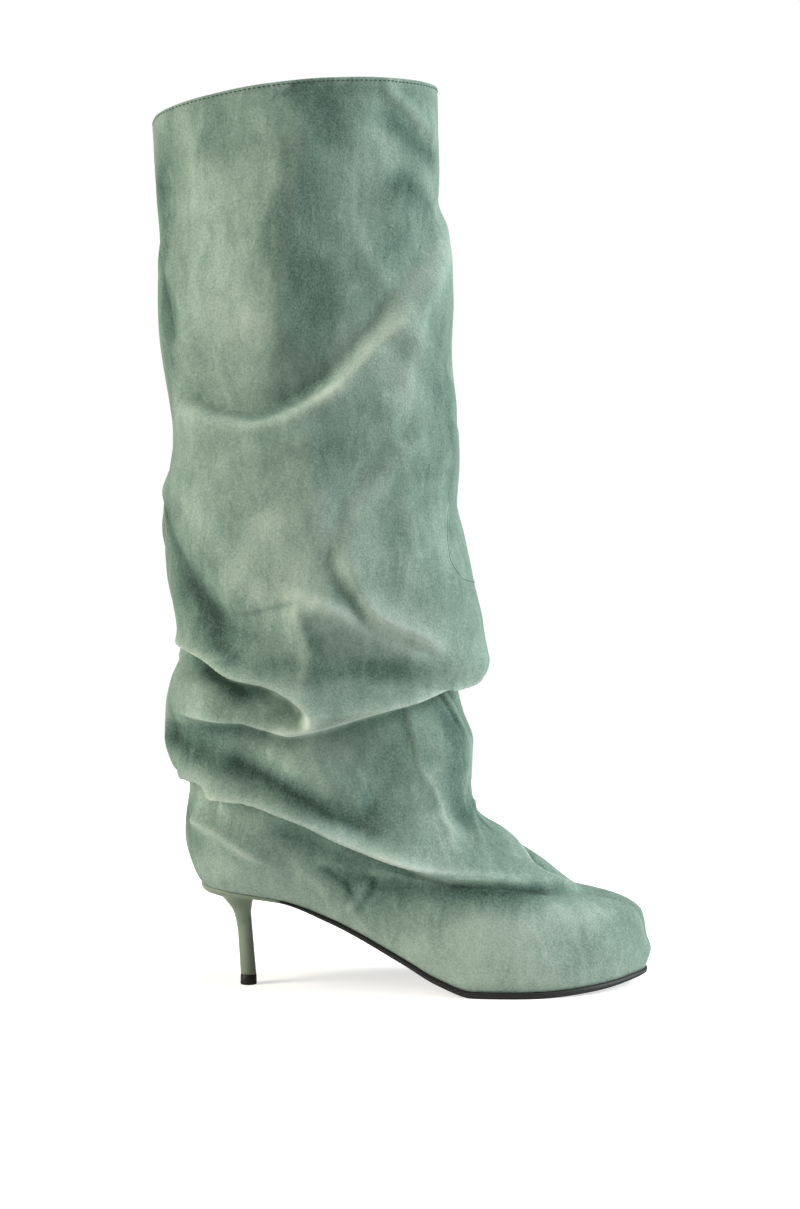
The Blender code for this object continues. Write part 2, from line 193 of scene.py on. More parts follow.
SOLE_LINE = [
    SolePoint(-112.0, 55.1, 1.0),
    SolePoint(-62.0, 47.2, 1.2),
    SolePoint(-37.0, 38.2, 2.4),
    SolePoint(0.0, 19.0, 3.0),
    SolePoint(19.0, 8.6, 3.2),
    SolePoint(36.0, 3.2, 3.2),
    SolePoint(64.0, 3.2, 3.2),
    SolePoint(100.0, 4.8, 3.0),
    SolePoint(130.0, 8.4, 2.4),
]
print(len(SECTIONS), "sections,", len(SOLE_LINE), "points along the sole")


# %% Reading the tables smoothly
def hermite(at, knots, values):
    """Monotone cubic through the knots: between two of them the slopes are harmonic means."""
    at, knots, values = (np.asarray(a, float) for a in (at, knots, values))
    step = np.diff(knots)
    slope = np.diff(values) / step
    same_way = slope[:-1] * slope[1:] > 0
    mean = 2 * slope[:-1] * slope[1:] / np.where(same_way, slope[:-1] + slope[1:], 1)
    tangent = np.concatenate([slope[:1], np.where(same_way, mean, 0), slope[-1:]])
    i = np.clip(np.searchsorted(knots, at, side="right") - 1, 0, len(step) - 1)
    t = (at - knots[i]) / step[i]
    ease = t * t * (3 - 2 * t)
    bend = step[i] * (t * (1 - t) ** 2 * tangent[i] - t * t * (1 - t) * tangent[i + 1])
    return values[i] * (1 - ease) + values[i + 1] * ease + bend


def smoothstep(x, low, high):
    """Zero below low, one above high, and 3 t t - 2 t t t between."""
    t = np.clip((x - low) / (high - low), 0, 1)
    return t * t * (3 - 2 * t)


def sole_top(x):
    """Height of the sole's upper face at x."""
    return hermite(x, [p.x for p in SOLE_LINE], [p.top for p in SOLE_LINE])


def column(name, level):
    """A column of the section table between its rows."""
    return hermite(level, np.arange(len(SECTIONS)), [getattr(s, name) for s in SECTIONS])


# %% [markdown]
# A ring is drawn by an angle round the leg: 0 degrees is the back, 90 the outer side, 180 the front and
# 270 the inner side. The half width is a sine series through the four stations, which closes neatly at
# both ends. On the foot the rings lie along the sole, and higher up they are plain tilted cuts.

# %% The upper before its folds
def half_width(theta, level, inner):
    """Sum over m of a sine of m theta, weighted so that the sum meets the four stations."""
    names = ("heel", "waist", "ball", "toe")
    foot = 1 - smoothstep(column("back_z", level), *FOOT_TOP_Z)
    widths = [column(n, level) + inner * foot * INNER_EXTRA[n] for n in names]
    pitch = math.pi / (len(names) + 1)
    total = 0
    for m in range(1, len(names) + 1):
        weight = sum(w * math.sin(m * (k + 1) * pitch) for k, w in enumerate(widths))
        total = total + 2 / (len(names) + 1) * weight * np.sin(m * theta)
    return total


def plain_upper(degree, level):
    """Back end plus a cosine share of the way to the front end, and half width to either side."""
    theta = np.radians(degree)
    back_x, back_z = column("back_x", level), column("back_z", level)
    front_x, front_z = column("front_x", level), column("front_z", level)
    along = (1 - np.cos(theta)) / 2
    x = back_x + (front_x - back_x) * along
    inner = (np.sin(theta) < 0).astype(float)
    near = half_width(np.where(inner > 0, 2 * math.pi - theta, theta), level, inner)
    foot = 1 - smoothstep(back_z, *FOOT_TOP_Z)
    y = np.where(inner > 0, near, -near) + TOE_SWING * foot * along**TOE_SWING_POWER
    chord = back_z + (front_z - back_z) * along
    collar = smoothstep(level, TOP_LEVEL - 2, TOP_LEVEL)
    chord = chord + COLLAR_BOW * collar * np.sin(math.pi * along**COLLAR_BOW_SKEW)
    above_back = back_z - sole_top(back_x)
    above_front = front_z - sole_top(front_x)
    on_sole = sole_top(x) + above_back + (above_front - above_back) * along
    flat = smoothstep(level, 0.0, FOOT_LEVEL)
    return np.stack([x, y, on_sole * (1 - flat) + chord * flat], axis=-1)


# %% Rows and columns of the suede
SKIN_COLUMNS = 288
SKIN_ROWS = 322
LEVEL_STEPS = 60
TIGHT_LEVELS = (4.0, 6.0, 13.0, 17.0)
TIGHTNESS = 0.8


def even_levels(count):
    """Levels evenly apart by the mean climb of four lines up the boot, and closer in the tight folds."""
    levels = np.linspace(0, TOP_LEVEL, LEVEL_STEPS * TOP_LEVEL)
    lines = plain_upper(np.array([[0.0], [60.0], [120.0], [180.0]]), levels[None, :])
    climb = np.linalg.norm(np.diff(lines, axis=1), axis=2).mean(axis=0)
    first, full, fading, last = TIGHT_LEVELS
    tight = smoothstep(levels[1:], first, full) * (1 - smoothstep(levels[1:], fading, last))
    length = np.concatenate([[0], np.cumsum(climb * (1 + TIGHTNESS * tight))])
    return np.interp(np.linspace(0, length[-1], count), length, levels)


skin_levels = even_levels(SKIN_ROWS)
degree, level = np.meshgrid(np.arange(SKIN_COLUMNS) * 360 / SKIN_COLUMNS, skin_levels)
plain = plain_upper(degree, level)
print("plain upper:", plain.shape, "spans", np.ptp(plain, axis=(0, 1)).round(1), "mm")


# %% Normals of a grid
def surface_normals(points):
    """Cross product of the step round the leg and the step up it, at unit length."""
    round_step = np.roll(points, -1, axis=1) - np.roll(points, 1, axis=1)
    normal = np.cross(round_step, np.gradient(points, axis=0))
    return normal / np.linalg.norm(normal, axis=-1, keepdims=True)


plain_normals = surface_normals(plain)
print("mean outward normal is", np.abs(plain_normals.mean(axis=(0, 1))).round(2))

# %% [markdown]
# The slack suede falls in folds. A cloth simulation would give other folds than the ones on this boot,
# so each main crease is placed one by one. A line runs over the suede through a few points, each a degree
# and a height. Looking along it from outside, the suede on its left and on its right is raised or sunk,
# and the effect dies away with distance. The same on both sides makes a ridge or a valley, and unlike
# sides make a lap, where one layer lies over the next. The edge is how round the crest is, and a
# raised side may hang, so that it droops over what lies under it.

# %% What a fold is
Fold = namedtuple("Fold", "left right reach_left reach_right edge hang line")
LINE_SAMPLES = 56
SHORTEST_STEP = 0.001
LINE_FADE = 0.16
REACHES_KEPT = 4.0
HEIGHT_STEPS = 12
# Width and strength of the painted edge line: a painted highlight along the crest of a lap or a ridge,
# painted shade along a valley
PAINTED_EDGE_WIDTH = 1.0
PAINTED_EDGE_SHARE = 0.35
CRISP_EDGE = 5.0
FULL_LAP = 17.0
FULL_RIDGE = 30.0


def line_marks(marks, samples):
    """Degrees and levels along a line, read smoothly between its marks of degree and height."""
    marks = np.array(marks, float)
    along = np.linspace(0, len(marks) - 1, samples)
    turn, height = (hermite(along, np.arange(len(marks)), marks[:, i]) for i in (0, 1))
    levels = np.linspace(0, TOP_LEVEL, HEIGHT_STEPS * TOP_LEVEL)
    heights = plain_upper(turn[:, None], levels[None, :])[..., 2]
    return turn, np.array([np.interp(h, row, levels) for h, row in zip(height, heights)])


def beside_line(marks, margin, faded):
    """Points within a margin of a line, their distance from it, left positive, and a fade at its ends."""
    line = plain_upper(*line_marks(marks, LINE_SAMPLES))
    moved = np.linalg.norm(np.diff(line, axis=0), axis=1) > SHORTEST_STEP
    line = line[np.concatenate([[True], moved])]
    flat = plain.reshape(-1, 3)
    close = ((flat > line.min(axis=0) - margin) & (flat < line.max(axis=0) + margin)).all(axis=1)
    step = np.diff(line, axis=0)
    from_start = flat[close][:, None, :] - line[None, :-1, :]
    part_way = np.clip((from_start * step).sum(axis=2) / (step**2).sum(axis=1), 0, 1)
    gaps = from_start - part_way[..., None] * step
    distances = np.linalg.norm(gaps, axis=2)
    nearest = distances.argmin(axis=1)
    each = np.arange(len(nearest))
    leftward = np.cross(plain_normals.reshape(-1, 3)[close], step[nearest])
    distance = distances[each, nearest] * np.sign((leftward * gaps[each, nearest]).sum(axis=1))
    at = (nearest + part_way[each, nearest]) / len(step)
    fade = smoothstep(at, 0, faded) * (1 - smoothstep(at, 1 - faded, 1))
    return close, distance, fade


def fold_relief(fold):
    """Side relief times exp(-(sqrt(d d + edge edge) - edge) / reach), and a painted edge line: highlight on a
    lap or ridge, shade in a valley.
    """
    lifted = fold.hang * max(fold.left, fold.right, 0)
    marks = [(turn, height + lifted) for turn, height in fold.line]
    margin = REACHES_KEPT * max(fold.reach_left, fold.reach_right)
    close, distance, fade = beside_line(marks, margin, LINE_FADE)
    on_left = smoothstep(distance, -fold.edge, fold.edge)
    reach = fold.reach_right + (fold.reach_left - fold.reach_right) * on_left
    side = fold.right + (fold.left - fold.right) * on_left
    relief, painted_edge = np.zeros(degree.size), np.zeros(degree.size)
    rounded = np.sqrt(distance**2 + fold.edge**2) - fold.edge
    relief[close] = side * fade * np.exp(-rounded / reach)
    # The painted edge line: pale along a lap or a ridge, deep along a valley
    step_up = fold.left - fold.right
    strength = np.clip(abs(step_up) / FULL_LAP + (fold.left + fold.right) / FULL_RIDGE, -1, 1)
    strength = strength * math.exp(-fold.edge / CRISP_EDGE)
    from_crest = distance - np.sign(step_up) * fold.edge / 2
    painted_edge_width = PAINTED_EDGE_WIDTH + PAINTED_EDGE_SHARE * fold.edge
    painted_edge[close] = strength * fade * np.exp(-((from_crest / painted_edge_width) ** 2))
    return relief.reshape(degree.shape), painted_edge.reshape(degree.shape)


print("a fold has", Fold._fields)

# %% Folds of the leg
LEG_FOLDS = {
    "cowl lip": Fold(
        -3.5, 6, 26, 42, 6, 0,
        [(16, 313), (32, 302), (46, 296), (57, 292), (68, 290), (77, 292), (86, 297), (100, 308), (112, 323),
         (125, 340), (138, 357)],
    ),
    "cowl seat": Fold(
        -0.6, 2.5, 6, 10, 2, 0,
        [(30, 303), (44, 297), (57, 292), (68, 290), (77, 292), (86, 297), (97, 305), (108, 317)],
    ),
    "cowl arm": Fold(
        -2.5, 6, 24, 36, 9, 0,
        [(118, 331), (128, 344), (139, 358), (152, 372), (168, 387), (184, 398), (202, 408)],
    ),
    "thin ridge": Fold(
        2, 2, 6, 6, 3, 0, [(131, 300), (133, 316), (139, 336), (148, 355), (158, 370), (172, 386)]
    ),
    "shaft edge": Fold(
        8, 8, 30, 13, 8, 0, [(80, 312), (82, 349), (84, 380), (87, 404), (92, 424), (91, 460)]
    ),
    "back ridge": Fold(2.5, 2.5, 7, 7, 2, 0, [(14, 390), (22, 376), (32, 362), (40, 346), (42, 322)]),
    "back hollow": Fold(-3, -3, 6, 6, 2, 0, [(8, 374), (22, 360), (27, 346), (28, 326)]),
    "collar ridge": Fold(1.2, -2.5, 7, 9, 4, 0, [(124, 457), (134, 452), (144, 446), (154, 440), (172, 432)]),
    "collar dimple": Fold(-2, -2, 6, 6, 3, 0, [(138, 412), (148, 408), (158, 404), (170, 400)]),
    "blouse edge": Fold(
        6, 6, 28, 11, 8, 0,
        [(88, 172), (91, 194), (94, 214), (95, 232), (93, 248), (90, 264), (86, 278), (84, 292)],
    ),
    "left fold": Fold(
        3.5, -6, 18, 18, 10, 0, [(4, 254), (16, 246), (28, 232), (38, 217), (48, 201), (62, 185)]
    ),
    "left pucker": Fold(1.5, 1.5, 2.5, 2.5, 1, 0, [(12, 246), (18, 241), (26, 235), (24, 226)]),
    "front bulge": Fold(
        2, -1.5, 26, 14, 7, 0,
        [(146, 284), (130, 279), (119, 271), (110, 254), (103, 238), (100, 225), (100, 212), (101, 200)],
    ),
    "pouch": Fold(
        3, -2, 24, 8, 4, 0,
        [(99, 234), (99, 220), (101, 208), (103, 199), (106, 192), (111, 187), (118, 183), (128, 178),
         (142, 168)],
    ),
    "pouch crease": Fold(
        -0.9, -0.9, 2.5, 2.5, 1, 0,
        [(100, 216), (101, 206), (103, 197), (106, 190), (111, 185), (120, 181), (134, 172)],
    ),
    "pinch": Fold(-1, -1, 3, 3, 1.5, 0, [(64, 194), (72, 196), (78, 198), (88, 200)]),
    "pinch ridge": Fold(2.2, 2.2, 8, 4, 1.8, 0, [(87, 160), (85, 168), (82, 178), (81, 188), (80, 200)]),
    "pinch hollow": Fold(-2, -2, 6, 7, 3, 0, [(86, 188), (88, 178), (94, 172), (106, 170), (126, 169)]),
    "pouch rim": Fold(
        2.5, 2.5, 8, 7, 4, 0,
        [(76, 202), (84, 201), (94, 196), (103, 189), (114, 182), (126, 176), (140, 170)],
    ),
    "front streak": Fold(1.2, 1.2, 5, 5, 3, 0, [(130, 264), (132, 245), (128, 225), (120, 202)]),
    "front pucker": Fold(2, 2, 6, 6, 3, 0, [(166, 294), (160, 282), (152, 266), (150, 251), (150, 232)]),
    "front blob": Fold(2, 2, 7, 6, 4, 0, [(120, 306), (121, 296), (122, 285), (126, 277), (142, 282)]),
}
print(len(LEG_FOLDS), "folds on the leg")

# %% Folds of the ankle
ANKLE_FOLDS = {
    "pocket edge": Fold(
        7, -11, 13, 9, 2.5, 0.3,
        [(-6, 183), (18, 174), (41, 167), (58, 159), (72, 156), (82, 150), (88, 142), (88, 135)],
    ),
    "hem": Fold(
        8, -6, 14, 10, 2.5, 0.3,
        [(8, 140), (38, 138), (54, 137), (62, 137), (71, 134), (81, 131), (86, 132), (96, 135), (112, 141),
         (136, 148), (152, 154), (168, 160), (184, 163), (200, 164)],
    ),
    "fan back": Fold(1, -0.3, 5, 3, 1.2, 0, [(130, 154), (130, 146), (129, 138), (128, 130), (129, 112)]),
    "fan middle": Fold(1.2, -0.8, 4, 3, 1.2, 0, [(150, 162), (156, 150), (161, 142), (162, 124)]),
    "fan front": Fold(1.2, -0.8, 3, 3, 1.2, 0, [(160, 164), (168, 150), (174, 141), (175, 122)]),
    "ankle bulge": Fold(4, 4, 10, 8, 5, 0, [(68, 128), (80, 117), (92, 107), (106, 96)]),
    "back valley": Fold(
        -7, -7, 12, 10, 8, 0, [(2, 130), (14, 128), (34, 127), (51, 123), (62, 117), (79, 102)]
    ),
    "ankle valley": Fold(
        -4.5, -4.5, 9, 6, 2, 0,
        [(50, 122), (58, 118), (66, 114), (74, 109), (80, 103), (86, 97), (92, 91), (98, 86), (110, 77)],
    ),
    "back roll": Fold(3, -3, 9, 6, 2, 0.2, [(8, 111), (16, 108), (23, 107), (31, 105), (36, 100), (38, 90)]),
}
print(len(ANKLE_FOLDS), "folds at the ankle")

# %% Folds of the foot
FOOT_FOLDS = {
    "skirt": Fold(
        6, -5.5, 9, 16, 1.4, 0.3,
        [(28, 104), (38, 100), (56, 97), (66, 93), (76, 87), (84, 78), (92, 70.5), (100, 64), (108, 58.5)],
    ),
    "skirt front": Fold(
        2.5, -2, 8, 12, 1, 0.2,
        [(88, 75), (96, 68), (104, 62), (112, 58), (126, 56), (140, 54), (152, 53), (172, 48)],
    ),
    "instep edge": Fold(
        -1.2, 1.6, 5, 6, 1, 0,
        [(188, 88), (178, 78), (164, 69), (156, 62), (160, 57), (168, 53), (166, 48)],
    ),
    "counter ridge": Fold(3, 3, 5, 4, 1, 0, [(16, 90), (24, 87), (35, 83), (42, 78), (48, 72), (54, 64)]),
    "breast crease": Fold(-1.6, -1.6, 2.5, 3, 1.2, 0, [(83, 61), (80, 57), (77, 52), (75, 46), (74, 40)]),
    "breast fold": Fold(-1.2, -1.2, 3, 3, 1.2, 0, [(68, 66), (70, 61), (72, 56), (73, 50), (74, 45)]),
    "breast lump": Fold(1.3, 1.3, 3, 3, 1.2, 0, [(80, 60), (77, 55), (75, 50), (72, 45), (70, 41)]),
    "instep bend": Fold(
        1.2, 1.2, 5, 5, 1.5, 0, [(129, 120), (134, 112), (138, 106), (139, 96), (135, 86), (120, 70)]
    ),
    "vamp crease": Fold(2, 2, 3, 3, 1, 0, [(174, 98), (168, 93), (152, 85), (136, 72)]),
    "toe cleft": Fold(-3, -3, 5, 5, 3, 0, [(180, 52), (176, 48), (175, 44), (175, 37), (178, 26), (180, 18)]),
}
print(len(FOOT_FOLDS), "folds on the foot")

# %% Folds of the inner side
INNER_FOLDS = {
    "inner cowl": Fold(
        -6, 7, 15, 24, 4, 0,
        [(206, 356), (222, 342), (240, 326), (262, 308), (285, 298), (315, 300), (346, 312)],
    ),
    "inner shaft edge": Fold(4, 4, 18, 18, 7, 0, [(272, 330), (270, 370), (268, 410), (268, 456)]),
    "inner blouse edge": Fold(
        5, 5, 20, 12, 8, 0, [(278, 288), (272, 266), (267, 246), (264, 228), (262, 206)]
    ),
    "inner front ridge": Fold(
        2.5, 2.5, 9, 9, 5, 0, [(214, 276), (228, 262), (238, 244), (244, 226), (246, 204)]
    ),
    "inner back ridge": Fold(
        3.5, -4, 12, 14, 7, 0, [(352, 256), (336, 244), (322, 228), (308, 208), (292, 190)]
    ),
    "inner pouch": Fold(-2.5, 3.5, 8, 13, 5, 0, [(212, 168), (226, 177), (240, 184), (252, 192), (260, 206)]),
    "inner hem": Fold(
        9, -9, 14, 12, 2.5, 0.4,
        [(176, 158), (194, 159), (220, 150), (250, 139), (276, 135), (304, 144), (332, 158), (366, 176)],
    ),
    "inner skirt": Fold(
        7, -6, 9, 12, 2, 0.3,
        [(196, 51), (210, 55), (230, 60), (250, 67), (268, 76), (284, 86), (304, 98), (324, 106), (352, 113)],
    ),
    "inner valley": Fold(-6, -6, 8, 7, 1.5, 0, [(262, 92), (276, 102), (292, 112), (308, 120), (332, 126)]),
    "inner crease": Fold(2, 2, 4, 4, 1.2, 0, [(232, 144), (230, 128), (224, 112), (232, 96)]),
    "inner counter": Fold(2, 2, 5, 5, 1.5, 0, [(304, 66), (316, 79), (330, 86), (346, 90)]),
}
print(len(INNER_FOLDS), "folds on the inner side")

# %% [markdown]
# The folds add up on the plain upper along its outward normal. Near the sole edge they fade out, because
# there the suede is pulled tight over the last. A few slow waves keep the wide areas from looking turned
# on a lathe.

# %% The folded suede
FREE_LEVEL = 1.5
Wave = namedtuple("Wave", "height turns climb phase")
SLOW_WAVES = [Wave(0.3, 5, 96.0, 0.4), Wave(0.25, 8, -78.0, 2.1), Wave(0.15, 13, 51.0, 4.0)]


def slow_waves():
    """Sum of sines that turn round the leg as they climb it."""
    total = np.zeros(degree.shape)
    for wave in SLOW_WAVES:
        phase = wave.turns * np.radians(degree) + 2 * math.pi * plain[..., 2] / wave.climb
        total += wave.height * np.sin(phase + wave.phase)
    return total


free = smoothstep(level, 0.0, FREE_LEVEL)
relief = slow_waves()
sag = np.zeros(degree.shape)
# Painted edge lines of all folds: highlight along laps and ridges, shade along valleys
painted_edge_light_and_shade = np.zeros(degree.shape)
for fold in [*LEG_FOLDS.values(), *ANKLE_FOLDS.values(), *FOOT_FOLDS.values(), *INNER_FOLDS.values()]:
    lift, painted_edge = fold_relief(fold)
    relief += lift
    painted_edge_light_and_shade += painted_edge
    sag += fold.hang * np.maximum(lift, 0)
relief *= free
skin = plain + plain_normals * relief[..., None]
skin[..., 2] -= sag * free
skin_normals = surface_normals(skin)
print("relief from", relief.min().round(1), "to", relief.max().round(1), "mm")

# %% [markdown]
# The strokes are partly nap: a hand drawn over suede lays its fibres flat, and the stroke stays as a
# paler or a deeper patch. Mostly they are painted light: a stroke whose amount is below zero is painted
# shade, which deepens a crease, a hollow or a shaded place, and one above zero is a painted highlight on a
# crest or a lit face, where the relief alone leaves the shading too faint. All of them are placed one by
# one. A stroke says how much paler the suede is painted there, or deeper where the amount is below zero,
# how far it reaches to the left and to the right of its line, seen along it from outside, and the line
# over the suede, as degrees and heights. A short reach on one side makes a clear border.

# %% Strokes of the leg: nap and painted light
Stroke = namedtuple("Stroke", "amount left right line")
LEG_STROKES = {
    "shaft shade": Stroke(
        -0.22, 5, 24,
        [(79, 298), (82, 320), (84, 340), (84, 353), (82, 369), (80, 380), (84, 397), (88, 412), (88, 428),
         (87, 470)],
    ),
    "shaft back": Stroke(
        -0.27, 11, 11, [(24, 470), (20, 420), (18, 404), (22, 370), (24, 353), (20, 320), (14, 290)]
    ),
    "shaft deep": Stroke(-0.2, 14, 18, [(104, 458), (106, 448), (108, 436), (107, 416)]),
    "shaft low": Stroke(-0.14, 10, 10, [(100, 374), (100, 361), (101, 348), (104, 334)]),
    "shaft left": Stroke(-0.08, 14, 14, [(28, 466), (34, 442), (36, 420), (36, 396)]),
    "wisp high": Stroke(0.13, 4, 5, [(42, 452), (45, 436), (47, 418), (46, 404), (43, 388)]),
    "wisp low": Stroke(0.13, 4, 5, [(53, 400), (49, 380), (46, 362), (48, 346), (51, 328)]),
    "wisp right": Stroke(0.12, 4, 4, [(112, 398), (116, 386), (120, 375), (125, 364), (130, 354)]),
    "shaft bloom": Stroke(0.14, 16, 16, [(58, 430), (58, 405), (62, 360), (66, 335), (66, 300)]),
    "shaft pale": Stroke(0.1, 10, 10, [(122, 446), (118, 425), (114, 405), (112, 380)]),
    "collar shade": Stroke(-0.18, 14, 14, [(92, 462), (93, 456), (94, 446), (94, 430), (92, 404)]),
    "collar band": Stroke(
        -0.1, 3.5, 3.5, [(70, 448), (86, 453), (105, 456), (120, 457), (150, 458), (190, 458)]
    ),
    "collar crest": Stroke(0.12, 5, 3, [(126, 462), (136, 455), (146, 447), (156, 438), (172, 428)]),
    "collar front": Stroke(
        -0.3, 5, 9, [(122, 448), (132, 443), (142, 437), (152, 432), (164, 428), (182, 424)]
    ),
    "collar spot": Stroke(-0.26, 6, 12, [(126, 417), (139, 412), (151, 405), (174, 397)]),
    "collar pale": Stroke(0.12, 5, 5, [(130, 456), (128, 440), (130, 425), (134, 406)]),
    "shaft front": Stroke(-0.15, 9, 9, [(150, 352), (152, 325), (158, 292), (159, 256), (158, 215)]),
    "shaft top": Stroke(-0.08, 14, 14, [(46, 460), (54, 446), (62, 432), (66, 416)]),
    "cowl crest": Stroke(
        0.15, 2.5, 5,
        [(86, 295), (95, 303), (104, 313), (114, 326), (125, 340), (138, 357), (152, 371), (176, 390)],
    ),
    "cowl hollow": Stroke(-0.06, 8, 3, [(80, 297), (88, 302), (96, 309), (106, 320)]),
    "cowl bloom": Stroke(
        0.18, 7, 4, [(92, 304), (100, 315), (110, 330), (121, 344), (134, 358), (148, 371), (168, 385)]
    ),
    "arm shade": Stroke(-0.12, 7, 7, [(110, 358), (119, 367), (128, 376), (137, 384), (148, 392)]),
    "under cowl": Stroke(-0.13, 8, 8, [(60, 286), (72, 283), (84, 280), (95, 277), (104, 272), (112, 265)]),
    "blouse shade": Stroke(
        -0.06, 7, 12, [(96, 206), (94, 222), (93, 238), (94, 254), (95, 270), (95, 286), (94, 302)]
    ),
    "blouse bloom": Stroke(0.24, 16, 16, [(70, 246), (75, 235), (80, 223), (85, 210), (91, 195)]),
    "blouse low": Stroke(0.17, 8, 8, [(54, 220), (60, 210), (68, 202), (78, 197)]),
    "blouse side": Stroke(0.12, 7, 6, [(92, 262), (94, 248), (95, 234), (98, 219), (103, 203)]),
    "lobe foot": Stroke(-0.14, 5, 4, [(36, 186), (50, 175), (63, 168), (80, 162)]),
    "front wisp": Stroke(0.1, 2.5, 2.5, [(126, 260), (128, 246), (130, 232), (133, 212)]),
    "cowl floor": Stroke(0.13, 8, 2, [(38, 302), (50, 299), (62, 296), (73, 297), (81, 301)]),
    "shaft foot": Stroke(0.06, 9, 8, [(70, 300), (72, 318), (73, 334), (72, 352)]),
    "front face": Stroke(0.12, 9, 9, [(118, 334), (124, 319), (130, 304), (136, 286)]),
    "left crest": Stroke(0.07, 7, 7, [(24, 262), (44, 243), (58, 227), (70, 212), (86, 199)]),
    "bulge bloom": Stroke(0.13, 9, 9, [(116, 276), (112, 254), (110, 238), (111, 222), (114, 200)]),
    "bulge front": Stroke(-0.06, 9, 9, [(140, 292), (136, 266), (134, 246), (135, 226), (138, 204)]),
    "pouch bloom": Stroke(
        0.24, 11, 3, [(101, 214), (105, 200), (110, 192), (119, 186), (129, 179), (148, 168)]
    ),
    "pouch line": Stroke(
        -0.09, 1, 1.5, [(100, 214), (102, 203), (106, 194), (112, 187), (121, 181), (140, 170)]
    ),
    "rim bloom": Stroke(
        0.3, 4, 5, [(72, 206), (82, 203), (92, 198), (102, 190), (114, 182), (128, 174), (142, 166)]
    ),
    "blouse turn": Stroke(
        -0.36, 12, 16,
        [(-34, 262), (0, 252), (16, 243), (27, 229), (34, 214), (40, 201), (47, 189), (58, 180), (74, 173)],
    ),
    "blouse foot": Stroke(-0.2, 6, 5, [(58, 176), (74, 170), (86, 167), (104, 166), (128, 167), (146, 169)]),
    "pinch lit": Stroke(
        0.12, 6, 2, [(90, 150), (88, 160), (85, 169), (82, 179), (81, 189), (80, 199), (79, 209)]
    ),
    "pinch shade": Stroke(-0.13, 2, 5, [(90, 152), (88, 160), (86, 168), (84, 178), (83, 188), (82, 200)]),
    "pinch line": Stroke(-0.12, 1, 1, [(54, 194), (64, 195), (74, 198), (86, 202)]),
}
print(len(LEG_STROKES), "strokes on the leg")
